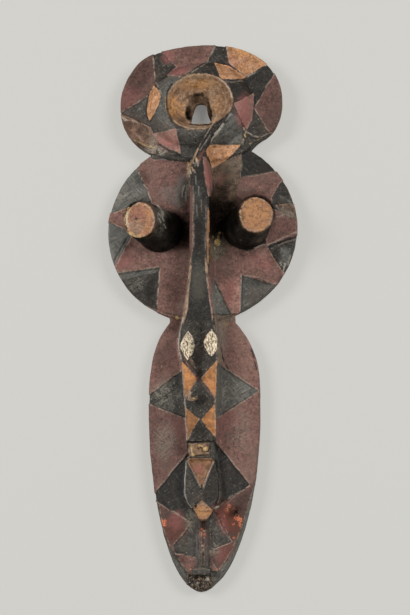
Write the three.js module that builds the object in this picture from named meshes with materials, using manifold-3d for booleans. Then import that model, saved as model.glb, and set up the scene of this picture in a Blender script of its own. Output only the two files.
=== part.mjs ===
// A painted crest mask, carved from one block of light wood and shown lying on its back.
// An oval board with a funnel mouth stands above a round face board with two stalk eyes.
// A long leaf-shaped board hangs below. A snake runs down the front: its tail starts at the
// rim of the mouth, its body stands up between the eyes, and its head lies on the leaf board.
//
// Millimetres. +Z is out of the face, +Y is towards the top of the mask, and the origin is
// under the middle of the mask, on the surface that its back lies on.
import * as THREE from "three";
import { mergeVertices } from "three/addons/utils/BufferGeometryUtils.js";
import Module from "manifold-3d";

// Overall
const LENGTH = 730;
const AXIS_X = 2.5; // the carver's middle line, a little right of the round board's centre
const AROUND = 96; // sides of a round outline

// Oval crest board, a superellipse
const CREST = { x: -1, halfWidth: 109, halfHeight: 83.5, power: 2.2, front: 30 };
CREST.y = LENGTH / 2 - CREST.halfHeight;
// Cut by eye, it is fuller at its upper left and flatter at its lower right
CREST.uneven = [
  { degrees: 137, by: 4.5, spread: 15 },
  { degrees: 323, by: -4.5, spread: 8 },
];

// Round face board
const FACE = { radius: 125.5, y: 106, front: 26 };

// Leaf board: a narrow neck, a shoulder, and a long tapering end that bends a little left
const LEAF = { neck: 42, widest: 71.5, neckY: -19, widestY: -130, tipY: -LENGTH / 2, front: 22 };
LEAF.shoulderPower = 3.2;
LEAF.endPower = 0.525;
LEAF.topY = 12;
LEAF.bend = { fromY: -200, by: -5 };

// The edges of the boards: a worn arris in front and an undercut behind
const ARRIS = 1.6;
const UNDERCUT = 10;
const UNDERCUT_TOP = 16;
const LEAF_UNDERCUT = 3;
const LEAF_UNDERCUT_TOP = 5;

// Hollows in the back, with round sides and a ceiling that is flat over half of their width
const FACE_HOLLOW = { x: 98, y: 98, depth: 13 };
const CREST_HOLLOW = { x: 84, y: 60, depth: 14 };
const HOLLOW_FLAT = 0.5;

// Mouth: a low dome with a funnel in it and a rough arched hole right through
const DOME = { x: 74, y: 62, rimX: 48, rimY: 42, top: 46 };
const BOWL = { x: 44, y: 38, throatX: 20, throatY: 18, bottom: 20 };
const MOUTH = { x: -1, y: 277 };
const HOLE = { x: -2, bottomY: 256, topY: 283.5, bottomWidth: 27.5, topWidth: 17.5 };

// Stalk eyes, leaning outwards
const EYE = { footX: 57, footY: 104, footRadius: 29, tipX: 74.5, tipRadius: 24, tipZ: 80 };
EYE.rootZ = 16; // the stalk runs on into the board

// Snake: centre line with the half width of its flat back, the height of its back, and the
// width of the chamfer along each side. Stations run from the mouth's rim to the nose.
const SNAKE = [
  { x: 42, y: 268, top: 45, half: 2, chamfer: 2 },
  { x: 36, y: 254, top: 49, half: 3, chamfer: 2 },
  { x: 22, y: 240, top: 54, half: 3, chamfer: 2 },
  { x: 9, y: 219, top: 60, half: 3, chamfer: 3 },
  { x: 2, y: 194, top: 65, half: 4, chamfer: 4 },
  { x: 1, y: 168, top: 68, half: 7.5, chamfer: 5 },
  { x: 3, y: 140, top: 69, half: 9, chamfer: 4.5 },
  { x: 2.5, y: 95, top: 69, half: 8.5, chamfer: 4.5 },
  { x: 2, y: 55, top: 67, half: 8, chamfer: 4.5 },
  { x: 1.5, y: 28, top: 64, half: 10.5, chamfer: 4 },
  { x: 1, y: 0, top: 60, half: 14.5, chamfer: 3.5 },
  { x: -0.5, y: -22, top: 56, half: 17.5, chamfer: 3 },
  { x: -1, y: -40, top: 54, half: 21.5, chamfer: 2.5 },
  { x: -2, y: -57, top: 53, half: 26, chamfer: 2 },
  { x: -1, y: -75, top: 52, half: 23.5, chamfer: 2 },
  { x: 0, y: -96, top: 51, half: 22.5, chamfer: 2 },
  { x: 1, y: -126, top: 50, half: 20.5, chamfer: 2 },
  { x: 1.5, y: -155, top: 49, half: 19, chamfer: 2 },
  { x: 2, y: -181, top: 48, half: 17.5, chamfer: 2 },
  { x: 1, y: -200, top: 30, half: 13, chamfer: 2 },
];
const SNAKE_STEPS = 3; // rings between stations
const SNAKE_DRAFT = 0.06; // how much the sides spread for each millimetre down
const SNAKE_ROOT = 12; // height at which its sides end, inside the boards

// Low relief below the nose: a jaw plate of two lobes, a lozenge, a shaft and a crossbar
const JAW = { top: 34, topY: -198, leftX: -20, rightX: 19, bulge: 4, footY: -265, notchY: -253 };
JAW.lobeY = -238;
const THROAT_RECESS = { leftX: -15, rightX: 16, topY: -202, tipY: -241, depth: 2.5 };
const LOZENGE = { top: 36, topY: -254, leftX: -9, rightX: 17, sideY: -265, footY: -281, foot: 5 };
const SHAFT = { half: 7.5, top: 32, startY: -276, endY: -341 };
const CROSSBAR = { x: 0.5, half: 12.5, top: 33, topY: -338, footY: -347.5 };
const RELIEF_ROOT = 14; // the relief's solids start inside the leaf board
const RELIEF_ARRIS = 1.2;

const WOOD = new THREE.MeshStandardMaterial({ color: 0x3b3634, roughness: 0.6, metalness: 0 });

const wasm = await Module();
wasm.setup();

// The solid inside a closed geometry
function solid(geometry) {
  const loose = geometry.index ? geometry.toNonIndexed() : geometry;
  const bare = new THREE.BufferGeometry();
  bare.setAttribute("position", loose.getAttribute("position"));
  const merged = mergeVertices(bare, 1e-4);
  return new wasm.Manifold(
    new wasm.Mesh({
      numProp: 3,
      vertProperties: merged.attributes.position.array,
      triVerts: new Uint32Array(merged.index.array),
    }),
  );
}

// A closed skin over rings with the same number of points, with a fan over each end ring.
// Rings run anticlockwise seen from the last ring's side.
function loft(rings) {
  const count = rings[0].length;
  const points = rings.flat();
  const index = [];
  for (let level = 0; level + 1 < rings.length; level++) {
    for (let i = 0; i < count; i++) {
      const a = level * count + i;
      const b = level * count + ((i + 1) % count);
      index.push(a, b, b + count, a, b + count, a + count);
    }
  }
  const centre = (ring) =>
    ring.reduce((sum, p) => sum.add(p), new THREE.Vector3()).divideScalar(count);
  const firstCentre = points.push(centre(rings[0])) - 1;
  const lastCentre = points.push(centre(rings.at(-1))) - 1;
  const last = (rings.length - 1) * count;
  for (let i = 0; i < count; i++) {
    const j = (i + 1) % count;
    index.push(firstCentre, j, i, lastCentre, last + i, last + j);
  }
  return new THREE.BufferGeometry().setFromPoints(points).setIndex(index);
}

// The outline moved inwards by a distance, along its own normals
function inset(outline, distance) {
  const count = outline.length;
  return outline.map((p, i) => {
    const before = outline[(i + count - 1) % count];
    const after = outline[(i + 1) % count];
    const along = after.clone().sub(before).normalize();
    return new THREE.Vector2(p.x - along.y * distance, p.y + along.x * distance);
  });
}

// A board from its outline: undercut at the back, upright in the middle, worn at the front
function board(outline, front, undercut, undercutTop) {
  const level = (distance, z) =>
    inset(outline, distance).map((p) => new THREE.Vector3(p.x, p.y, z));
  return solid(
    loft([
      level(undercut, 0),
      level(0, undercutTop),
      level(0, front - ARRIS),
      level(ARRIS, front),
    ]),
  );
}

function superellipse(x, y, halfWidth, halfHeight, power) {
  return Array.from({ length: AROUND }, (_, i) => {
    const angle = (2 * Math.PI * i) / AROUND;
    const c = Math.cos(angle);
    const s = Math.sin(angle);
    const reach = (Math.abs(c) ** power + Math.abs(s) ** power) ** (-1 / power);
    return new THREE.Vector2(x + halfWidth * reach * c, y + halfHeight * reach * s);
  });
}

function crestBoardOutline() {
  const { x, y, halfWidth, halfHeight, power, uneven } = CREST;
  const middle = new THREE.Vector2(x, y);
  return superellipse(x, y, halfWidth, halfHeight, power).map((point) => {
    const out = point.clone().sub(middle);
    const degrees = THREE.MathUtils.euclideanModulo(THREE.MathUtils.radToDeg(out.angle()), 360);
    const extra = uneven.reduce(
      (sum, part) => sum + part.by * Math.exp(-(((degrees - part.degrees) / part.spread) ** 2)),
      0,
    );
    return point.addScaledVector(out.normalize(), extra);
  });
}

function leafHalfWidth(y) {
  if (y >= LEAF.neckY) return LEAF.neck;
  if (y >= LEAF.widestY) {
    const down = (LEAF.neckY - y) / (LEAF.neckY - LEAF.widestY);
    return LEAF.widest - (LEAF.widest - LEAF.neck) * (1 - down) ** LEAF.shoulderPower;
  }
  const down = (LEAF.widestY - y) / (LEAF.widestY - LEAF.tipY);
  return LEAF.widest * Math.max(0, 1 - down ** 2) ** LEAF.endPower;
}

// Where the leaf's middle line runs: from the neck over to the mask's middle, and back
function leafMiddle(y) {
  const shoulder = THREE.MathUtils.smoothstep(LEAF.neckY - y, 0, 60);
  const down = Math.max(0, (LEAF.bend.fromY - y) / (LEAF.bend.fromY - LEAF.tipY));
  return AXIS_X * shoulder + LEAF.bend.by * down ** 2;
}

// The leaf's outline: down its left side, round the tip, and up its right side
function leafOutline() {
  const shoulderSteps = 14;
  const endSteps = 30;
  const heights = [LEAF.topY, LEAF.neckY];
  for (let i = 1; i < shoulderSteps; i++) {
    const share = (i / shoulderSteps) ** 1.5;
    heights.push(LEAF.neckY + (LEAF.widestY - LEAF.neckY) * share);
  }
  for (let i = 0; i < endSteps; i++) {
    const share = Math.sin((Math.PI / 2) * (i / endSteps));
    heights.push(LEAF.widestY + (LEAF.tipY - LEAF.widestY) * share);
  }
  const side = (sign) =>
    heights.map((y) => new THREE.Vector2(leafMiddle(y) + sign * leafHalfWidth(y), y));
  return [...side(-1), new THREE.Vector2(leafMiddle(LEAF.tipY), LEAF.tipY), ...side(1).reverse()];
}

// A lathed solid about +Z, from a profile of [radius, height] that starts and ends on the axis,
// widened to the ellipse x by y
function turned(profile, x, y, centre) {
  const points = profile.map(([radius, height]) => new THREE.Vector2(radius, height));
  const geometry = new THREE.LatheGeometry(points, AROUND * 0.75);
  geometry.rotateX(Math.PI / 2);
  geometry.scale(x, y, 1);
  geometry.translate(centre.x, centre.y, 0);
  return solid(geometry);
}

// A hollow in the back: a wide bowl, open below
function hollow({ x, y, depth }, centre) {
  const steps = 5;
  const profile = [[0, -5], [1, -5]];
  for (let i = 0; i <= steps; i++) {
    const angle = (Math.PI / 2) * (i / steps);
    const radius = HOLLOW_FLAT + (1 - HOLLOW_FLAT) * Math.cos(angle);
    profile.push([radius, depth * Math.sin(angle)]);
  }
  profile.push([0, depth]);
  return turned(profile, x, y, centre);
}

// A prism with a worn top edge, standing on an outline of [x, y] corners
function raised(corners, top, arris = RELIEF_ARRIS) {
  const outline = new THREE.Shape(corners.map(([x, y]) => new THREE.Vector2(x, y)));
  const geometry = new THREE.ExtrudeGeometry(outline, {
    depth: top - RELIEF_ROOT - 2 * arris,
    bevelThickness: arris,
    bevelSize: arris,
    bevelOffset: -arris,
    bevelSegments: 1,
    curveSegments: 8,
  });
  geometry.translate(0, 0, RELIEF_ROOT + arris);
  return solid(geometry);
}

// The mouth's dome: a rounded slope from its foot on the oval board up to the rim
function mouthDome() {
  const steps = 5;
  const rings = [];
  for (let i = 0; i <= steps; i++) {
    const share = i / steps;
    const x = DOME.x + (DOME.rimX - DOME.x) * share;
    const y = DOME.y + (DOME.rimY - DOME.y) * share;
    const rise = Math.sin((Math.PI / 2) * share ** 0.85);
    const z = CREST.front - 3 + (DOME.top - CREST.front + 3) * rise;
    rings.push(superellipse(MOUTH.x, MOUTH.y, x, y, 2).map((p) => new THREE.Vector3(p.x, p.y, z)));
  }
  return solid(loft(rings));
}

// The funnel cut into the dome, narrowing to a throat that leans towards the chin
function mouthBowl() {
  const steps = 6;
  const rings = [];
  for (let i = 0; i <= steps; i++) {
    const share = i / steps;
    const open = share ** 0.6;
    const x = BOWL.throatX + (BOWL.x - BOWL.throatX) * open;
    const y = BOWL.throatY + (BOWL.y - BOWL.throatY) * open;
    const z = BOWL.bottom + (DOME.top - BOWL.bottom) * share;
    const centreY = MOUTH.y - 7 * (1 - open);
    rings.push(superellipse(MOUTH.x, centreY, x, y, 2).map((p) => new THREE.Vector3(p.x, p.y, z)));
  }
  rings.push(rings.at(-1).map((p) => p.clone().setZ(DOME.top + 12)));
  return solid(loft(rings));
}

// The arched hole in the bottom of the funnel, right through to the hollow behind
function mouthHole() {
  const springY = HOLE.topY - HOLE.topWidth / 2;
  const outline = new THREE.Shape();
  outline.moveTo(HOLE.x - HOLE.bottomWidth / 2, HOLE.bottomY);
  outline.lineTo(HOLE.x + HOLE.bottomWidth / 2, HOLE.bottomY);
  outline.lineTo(HOLE.x + HOLE.topWidth / 2, springY);
  outline.absarc(HOLE.x, springY, HOLE.topWidth / 2, 0, Math.PI, false);
  outline.closePath();
  const geometry = new THREE.ExtrudeGeometry(outline, { depth: DOME.top, bevelEnabled: false });
  geometry.translate(0, 0, -5);
  return solid(geometry);
}

// One stalk eye: a tapering round stalk whose end is cut square to its own lean
function stalkEye(side) {
  const foot = new THREE.Vector3(AXIS_X + side * EYE.footX, EYE.footY, FACE.front);
  const tip = new THREE.Vector3(AXIS_X + side * EYE.tipX, EYE.footY, EYE.tipZ);
  const lean = tip.clone().sub(foot);
  const run = lean.length();
  const root = foot.clone().addScaledVector(lean, (EYE.rootZ - FACE.front) / lean.z);
  const length = root.distanceTo(tip);
  const spread = (EYE.footRadius - EYE.tipRadius) / run;
  const geometry = new THREE.CylinderGeometry(
    EYE.tipRadius,
    EYE.tipRadius + spread * length,
    length,
    AROUND / 2,
    1,
  );
  geometry.translate(0, length / 2, 0);
  geometry.applyQuaternion(
    new THREE.Quaternion().setFromUnitVectors(new THREE.Vector3(0, 1, 0), lean.normalize()),
  );
  geometry.translate(root.x, root.y, root.z);
  return solid(geometry);
}

// The snake's values at a place along its stations, eased between them
function snakeAt(place) {
  const i = Math.min(Math.floor(place), SNAKE.length - 2);
  const share = place - i;
  const ease = (key) => {
    const [p0, p1, p2, p3] = [i - 1, i, i + 1, i + 2].map(
      (k) => SNAKE[THREE.MathUtils.clamp(k, 0, SNAKE.length - 1)][key],
    );
    const nose = i >= SNAKE.length - 2; // the nose is a straight slope
    const m1 = nose ? p2 - p1 : (p2 - p0) / 2;
    const m2 = nose || i === SNAKE.length - 3 ? p2 - p1 : (p3 - p1) / 2;
    return THREE.MathUtils.lerp(p1, p2, share) +
      share * (1 - share) * ((1 - share) * (m1 - (p2 - p1)) - share * (m2 - (p2 - p1)));
  };
  return { x: ease("x"), y: ease("y"), top: ease("top"), half: ease("half"), chamfer: ease("chamfer") };
}

// The snake: one ring across its body at each step, square to its course in plan
function snake() {
  const rings = [];
  const steps = (SNAKE.length - 1) * SNAKE_STEPS;
  for (let k = 0; k <= steps; k++) {
    const place = k / SNAKE_STEPS;
    const here = snakeAt(place);
    const before = snakeAt(Math.max(0, place - 0.1));
    const after = snakeAt(Math.min(SNAKE.length - 1, place + 0.1));
    const course = new THREE.Vector2(after.x - before.x, after.y - before.y).normalize();
    const across = new THREE.Vector3(-course.y, course.x, 0); // to the snake's own left
    const shoulder = here.half + here.chamfer;
    const root = shoulder + SNAKE_DRAFT * (here.top - SNAKE_ROOT);
    const ring = [
      [root, SNAKE_ROOT],
      [shoulder, here.top - here.chamfer],
      [here.half, here.top],
      [-here.half, here.top],
      [-shoulder, here.top - here.chamfer],
      [-root, SNAKE_ROOT],
    ];
    rings.push(
      ring.map(([side, z]) => new THREE.Vector3(here.x, here.y, z).addScaledVector(across, side)),
    );
  }
  return solid(loft(rings));
}

function jawPlate() {
  const middle = (JAW.leftX + JAW.rightX) / 2 + 1.5;
  return raised(
    [
      [JAW.leftX, JAW.topY],
      [JAW.leftX - JAW.bulge / 2, JAW.lobeY + 10],
      [JAW.leftX, JAW.lobeY - 14],
      [JAW.leftX + 8, JAW.footY],
      [middle, JAW.notchY],
      [JAW.rightX - 2, JAW.footY],
      [JAW.rightX + JAW.bulge + 1, JAW.lobeY - 10],
      [JAW.rightX + JAW.bulge, JAW.lobeY + 8],
      [JAW.rightX, JAW.topY],
    ],
    JAW.top,
  );
}

function throatRecess() {
  const { leftX, rightX, topY, tipY, depth } = THROAT_RECESS;
  const outline = new THREE.Shape([
    new THREE.Vector2(leftX, topY),
    new THREE.Vector2((leftX + rightX) / 2, tipY),
    new THREE.Vector2(rightX, topY),
  ]);
  const geometry = new THREE.ExtrudeGeometry(outline, { depth: 20, bevelEnabled: false });
  geometry.translate(0, 0, JAW.top - depth);
  return solid(geometry);
}

function lozenge() {
  const middle = (LOZENGE.leftX + LOZENGE.rightX) / 2;
  return raised(
    [
      [middle, LOZENGE.topY],
      [LOZENGE.leftX, LOZENGE.sideY],
      [middle - LOZENGE.foot, LOZENGE.footY],
      [middle + LOZENGE.foot, LOZENGE.footY],
      [LOZENGE.rightX, LOZENGE.sideY],
    ],
    LOZENGE.top,
  );
}

function shaft() {
  const x = AXIS_X;
  return raised(
    [
      [x - SHAFT.half, SHAFT.startY],
      [x - SHAFT.half, SHAFT.endY],
      [x + SHAFT.half, SHAFT.endY],
      [x + SHAFT.half, SHAFT.startY],
    ],
    SHAFT.top,
    3,
  );
}

function crossbar() {
  return raised(
    [
      [CROSSBAR.x - CROSSBAR.half, CROSSBAR.topY],
      [CROSSBAR.x - CROSSBAR.half + 1, CROSSBAR.footY],
      [CROSSBAR.x + CROSSBAR.half - 1, CROSSBAR.footY],
      [CROSSBAR.x + CROSSBAR.half, CROSSBAR.topY],
    ],
    CROSSBAR.top,
  );
}

// Everything is one carving: the forms are joined, then the hollows and the mouth are cut
function carving() {
  const crestOutline = crestBoardOutline();
  const faceOutline = superellipse(0, FACE.y, FACE.radius, FACE.radius, 2);
  const added = [
    board(crestOutline, CREST.front, UNDERCUT, UNDERCUT_TOP),
    board(faceOutline, FACE.front, UNDERCUT, UNDERCUT_TOP),
    board(leafOutline(), LEAF.front, LEAF_UNDERCUT, LEAF_UNDERCUT_TOP),
    mouthDome(),
    stalkEye(-1),
    stalkEye(1),
    snake(),
    jawPlate(),
    lozenge(),
    shaft(),
    crossbar(),
  ];
  const cut = [
    hollow(FACE_HOLLOW, { x: 0, y: FACE.y }),
    hollow(CREST_HOLLOW, { x: 0, y: CREST.y }),
    mouthBowl(),
    mouthHole(),
    throatRecess(),
  ];
  const joined = added.reduce((whole, piece) => whole.add(piece));
  return cut.reduce((whole, piece) => whole.subtract(piece), joined);
}

// The solid's triangles as a three.js geometry
function geometryOf(made) {
  const mesh = made.getMesh();
  const geometry = new THREE.BufferGeometry();
  geometry.setAttribute("position", new THREE.BufferAttribute(mesh.vertProperties, 3));
  geometry.setIndex(new THREE.BufferAttribute(mesh.triVerts, 1));
  geometry.computeVertexNormals();
  return geometry;
}

const mask = new THREE.Mesh(geometryOf(carving()), WOOD);
mask.name = "carved_mask";

const group = new THREE.Group();
group.add(mask);

export default group;
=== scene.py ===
import math

import bpy
import numpy as np
from mathutils import Matrix, Vector


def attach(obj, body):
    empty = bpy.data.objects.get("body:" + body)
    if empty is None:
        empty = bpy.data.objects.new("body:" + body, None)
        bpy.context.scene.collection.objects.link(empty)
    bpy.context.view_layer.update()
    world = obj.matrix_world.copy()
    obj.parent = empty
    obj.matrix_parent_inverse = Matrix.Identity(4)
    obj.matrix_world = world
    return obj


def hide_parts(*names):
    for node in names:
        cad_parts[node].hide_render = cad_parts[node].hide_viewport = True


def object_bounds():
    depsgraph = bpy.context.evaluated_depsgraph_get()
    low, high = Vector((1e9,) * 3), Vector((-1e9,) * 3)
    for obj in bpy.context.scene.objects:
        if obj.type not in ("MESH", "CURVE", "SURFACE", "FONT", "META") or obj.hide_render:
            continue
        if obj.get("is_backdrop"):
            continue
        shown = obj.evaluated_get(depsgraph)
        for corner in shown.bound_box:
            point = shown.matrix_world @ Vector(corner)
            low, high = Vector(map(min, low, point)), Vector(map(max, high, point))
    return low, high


# A painted crest mask of carved wood, lying face up on a pale floor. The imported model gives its
# form; this scene wears, gouges and paints it.
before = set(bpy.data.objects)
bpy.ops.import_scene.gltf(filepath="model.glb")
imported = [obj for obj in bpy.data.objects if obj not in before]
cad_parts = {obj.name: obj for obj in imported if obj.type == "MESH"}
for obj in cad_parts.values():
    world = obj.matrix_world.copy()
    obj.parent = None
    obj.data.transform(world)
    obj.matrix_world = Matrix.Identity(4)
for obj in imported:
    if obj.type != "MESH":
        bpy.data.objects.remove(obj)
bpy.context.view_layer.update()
scene = bpy.context.scene

# ---- Camera ----
# It looks down on the mask from its foot end and a little from the right. Its place and lens
# follow from how the eyes, the mouth and the dome shift against the boards in the photograph.
TARGET = Vector((0.004, 0.0, 0.020))
DISTANCE = 2.2
LEAN_RIGHT, LEAN_DOWN = math.radians(7), math.radians(15)
MM_PER_PX = 1.3
PX_PER_M = 1000 / MM_PER_PX
PHOTO = (410, 615)
SENSOR = 36.0

to_camera = Vector((math.sin(LEAN_RIGHT), -math.sin(LEAN_DOWN), 0.0))
to_camera.z = math.sqrt(1 - to_camera.x**2 - to_camera.y**2)
rightwards = (-to_camera).cross(Vector((0, 1, 0))).normalized()
upwards = rightwards.cross(-to_camera)
camera_data = bpy.data.cameras.new("camera")
camera_data.sensor_width = SENSOR
camera_data.lens = SENSOR * PX_PER_M * DISTANCE / PHOTO[1]
camera_data.clip_start, camera_data.clip_end = 0.05, 50
camera = bpy.data.objects.new("camera", camera_data)
camera_place = Matrix((rightwards, upwards, to_camera)).transposed().to_4x4()
camera_place.translation = TARGET + to_camera * DISTANCE
camera.matrix_world = camera_place
scene.collection.objects.link(camera)
scene.camera = camera
scene.view_settings.view_transform = "Standard"

# ---- Mask: the carved wood ----
# The real mask is one block of light wood, cut with an adze and a knife. An oval board with a
# funnel mouth, a round board with two stalk eyes and a leaf-shaped board carry a long snake.
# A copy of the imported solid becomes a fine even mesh, to be cut and painted point by point.
VOXEL = 0.00125
SOFTENING_ROUNDS = 2
WOBBLE_PX, WOBBLE_MM = 0.4, 8
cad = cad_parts["carved_mask"]
mask = cad.copy()
mask.data = cad.data.copy()
mask.name = mask.data.name = "mask"
mask.parent = None
for key in list(mask.keys()):
    del mask[key]
scene.collection.objects.link(mask)


def apply_modifiers():
    """The mask's mesh with its modifiers in it."""
    bpy.context.view_layer.update()
    done = mask.evaluated_get(bpy.context.evaluated_depsgraph_get())
    mesh = bpy.data.meshes.new_from_object(done)
    mask.modifiers.clear()
    mask.data = mesh
    mesh.name = "mask"
    return mesh


def values_of(mesh, what, width):
    values = np.empty(len(mesh.vertices) * width)
    mesh.vertices.foreach_get(what, values)
    return values.reshape(-1, width)


NOISE_VALUES = 4096
NOISE_KEYS = np.array([73856093, 19349663, 83492791])


def noise(points, size, seed):
    """Smooth random values from -1 to 1 that change over about one size, in millimetres."""
    table = np.random.default_rng(seed).uniform(-1, 1, NOISE_VALUES)
    grid = points / size
    cell = np.floor(grid).astype(np.int64)
    share = grid - cell
    share = share * share * (3 - 2 * share)
    total = np.zeros(len(points))
    for corner in range(8):
        step = np.array([corner & 1, corner >> 1 & 1, corner >> 2 & 1])
        key = (cell + step) @ NOISE_KEYS
        weight = np.prod(np.where(step, share, 1 - share), axis=1)
        total += weight * table[(key ^ key >> 13) & (NOISE_VALUES - 1)]
    return total


def in_photo(points):
    """The photograph's pixel at which the camera sees each point, given in millimetres."""
    ray = points / 1000 - np.array(camera_place.translation)
    depth = -(ray @ np.array(to_camera))
    scale = PX_PER_M * DISTANCE / depth
    across, down = ray @ np.array(rightwards) * scale, -(ray @ np.array(upwards)) * scale
    return np.stack([PHOTO[0] / 2 + across, PHOTO[1] / 2 + down], axis=1)


remesh = mask.modifiers.new("remesh", "REMESH")
remesh.mode = "VOXEL"
remesh.voxel_size = VOXEL
soften = mask.modifiers.new("soften", "SMOOTH")
soften.factor = 0.5
soften.iterations = SOFTENING_ROUNDS
made = apply_modifiers()
place = values_of(made, "co", 3) * 1000
normal = values_of(made, "normal", 3)
x, y, z = place.T
facing_right, _, facing_up = normal.T
count = len(place)
photo_at = in_photo(place)
photo_x, photo_y = photo_at.T
wobble = np.stack([noise(place, WOBBLE_MM, 11), noise(place, WOBBLE_MM, 12)], axis=1)
wavy = photo_at + WOBBLE_PX * wobble

# ---- Mask: its parts ----
# Which part of the carving each point belongs to, from the same sizes as the solid's, in
# millimetres. Worn and wavy edges may reach a little past an outline, by the spare room here.
CREST_X, CREST_Y, CREST_HALF, CREST_POWER, CREST_MEAN = -1, 281.5, (109, 83.5), 2.2, 90
FACE_Y, FACE_RADIUS = 106, 125.5
MOUTH_Y, MOUTH_HALF = 277, (48, 42)
MOUTH_RIM, DOME_TOP, DOME_FOOT = 0.95, 1.0, 1.55
CREST_FRONT, FACE_FRONT, LEAF_FRONT, DOME_RISE = 30.0, 26.0, 22.0, 16
CREST_SPARE, FACE_SPARE, SNAKE_SPARE, CREST_OVER_FACE = 6, 1.5, 9, 3
ABOVE_FACE, ABOVE_BOARD, ABOVE_LEAF = 27.5, 1.8, 24.3
NOSE_Y, RELIEF_Y = -200, -198
EYES_X, EYES_Y, STALK_REACH, STALK_LOW, TIP_SKIN = 2.5, 104, 31.5, 27.4, 1.0
STALK_FOOT, STALK_TIP = (57, 26), (74.5, 80)
LEFT_GAP_X, RIGHT_GAP_X = -18, 22
BACK_HEIGHT, BACK_FACING, MOUTH_LOW = 3, -0.3, 8
FAR = 1e9
# The snake's course: x, y, half the width of its flat back, and the height of its back
SNAKE = [
    (42, 268, 2, 45), (36, 254, 3, 49), (22, 240, 3, 54), (9, 219, 3, 60), (2, 194, 4, 65),
    (1, 168, 7.5, 68), (3, 140, 9, 69), (2.5, 95, 8.5, 69), (2, 55, 8, 67), (1.5, 28, 10.5, 64),
    (1, 0, 14.5, 60), (-0.5, -22, 17.5, 56), (-1, -40, 21.5, 54), (-2, -57, 26, 53),
    (-1, -75, 23.5, 52), (0, -96, 22.5, 51), (1, -126, 20.5, 50), (1.5, -155, 19, 49),
    (2, -181, 17.5, 48), (1, -200, 13, 30),
]
# Only what the camera sees as the snake's back carries its colours, within this outline in the
# photograph's pixels. Its right side is painted on with the boards.
SNAKE_BACK = [
    (232, 106), (228, 119), (220, 130), (212, 141.5), (206, 150), (203.5, 156), (208.5, 157),
    (211, 165), (213.2, 176), (213.2, 187), (211.5, 196), (209.8, 206), (209.6, 250), (209.2, 278),
    (211, 292), (213.5, 306), (214, 317), (216.5, 332), (218.3, 344), (217.8, 360), (217, 385),
    (216, 420), (216, 440), (212, 459), (187, 459), (187, 442), (186, 420), (184.6, 400),
    (182.8, 378), (180, 358), (177.8, 345), (178.3, 333), (181, 317), (183, 305), (184, 288),
    (186, 270), (187, 255), (187, 200), (185, 176), (188, 164), (192, 156), (195, 149), (200, 140),
    (208, 128), (215, 116), (222, 104),
]


def smooth(low, high, value):
    """0 at low, 1 at high, eased between them; low may be the larger."""
    share = np.clip((value - low) / (high - low), 0, 1)
    return share * share * (3 - 2 * share)


def from_line(points, corners):
    """How far each point is from a line through corners."""
    nearest = np.full(len(points), FAR)
    for (ax, ay), (bx, by) in zip(corners, corners[1:]):
        edge = np.array([bx - ax, by - ay])
        to_point = points - (ax, ay)
        share = np.clip(to_point @ edge / (edge @ edge), 0, 1)
        gap = to_point - share[:, None] * edge
        nearest = np.minimum(nearest, np.hypot(gap[:, 0], gap[:, 1]))
    return nearest


def within(points, corners):
    """How far each point lies inside a closed outline, negative outside it."""
    inside = np.zeros(len(points), bool)
    for (ax, ay), (bx, by) in zip(corners, corners[1:] + corners[:1]):
        crosses = (ay > points[:, 1]) != (by > points[:, 1])
        if ay != by:
            crossing_x = ax + (points[:, 1] - ay) * (bx - ax) / (by - ay)
            inside ^= crosses & (points[:, 0] < crossing_x)
    nearest = from_line(points, corners + corners[:1])
    return np.where(inside, nearest, -nearest)


crest_reach = (
    np.abs((x - CREST_X) / CREST_HALF[0]) ** CREST_POWER
    + np.abs((y - CREST_Y) / CREST_HALF[1]) ** CREST_POWER
) ** (1 / CREST_POWER)
crest_in = (1 - crest_reach) * CREST_MEAN
face_in = FACE_RADIUS - np.hypot(x, y - FACE_Y)
on_crest = crest_in > -CREST_SPARE
on_face = (face_in > -FACE_SPARE) & ~(on_crest & (z > ABOVE_FACE)) & ~(crest_in > CREST_OVER_FACE)
on_crest &= ~on_face
on_leaf = ~on_crest & ~on_face
mouth_out = np.hypot((x - CREST_X) / MOUTH_HALF[0], (y - MOUTH_Y) / MOUTH_HALF[1])

snake_off = np.full(count, FAR)
snake_half = np.zeros(count)
snake_top = np.zeros(count)
for (ax, ay, a_half, a_top), (bx, by, b_half, b_top) in zip(SNAKE, SNAKE[1:]):
    run_x, run_y = bx - ax, by - ay
    share = np.clip(((x - ax) * run_x + (y - ay) * run_y) / (run_x**2 + run_y**2), 0, 1)
    off = np.hypot(x - ax - share * run_x, y - ay - share * run_y)
    nearer = off < snake_off
    snake_off = np.where(nearer, off, snake_off)
    snake_half = np.where(nearer, a_half + share * (b_half - a_half), snake_half)
    snake_top = np.where(nearer, a_top + share * (b_top - a_top), snake_top)
dome_top = CREST_FRONT + DOME_RISE * smooth(DOME_FOOT, DOME_TOP, mouth_out)
board_top = np.where(on_crest, dome_top, np.where(on_face, FACE_FRONT, LEAF_FRONT))
on_snake = (snake_off < snake_half + SNAKE_SPARE) & (z > board_top + ABOVE_BOARD) & (y > NOSE_Y)

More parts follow.
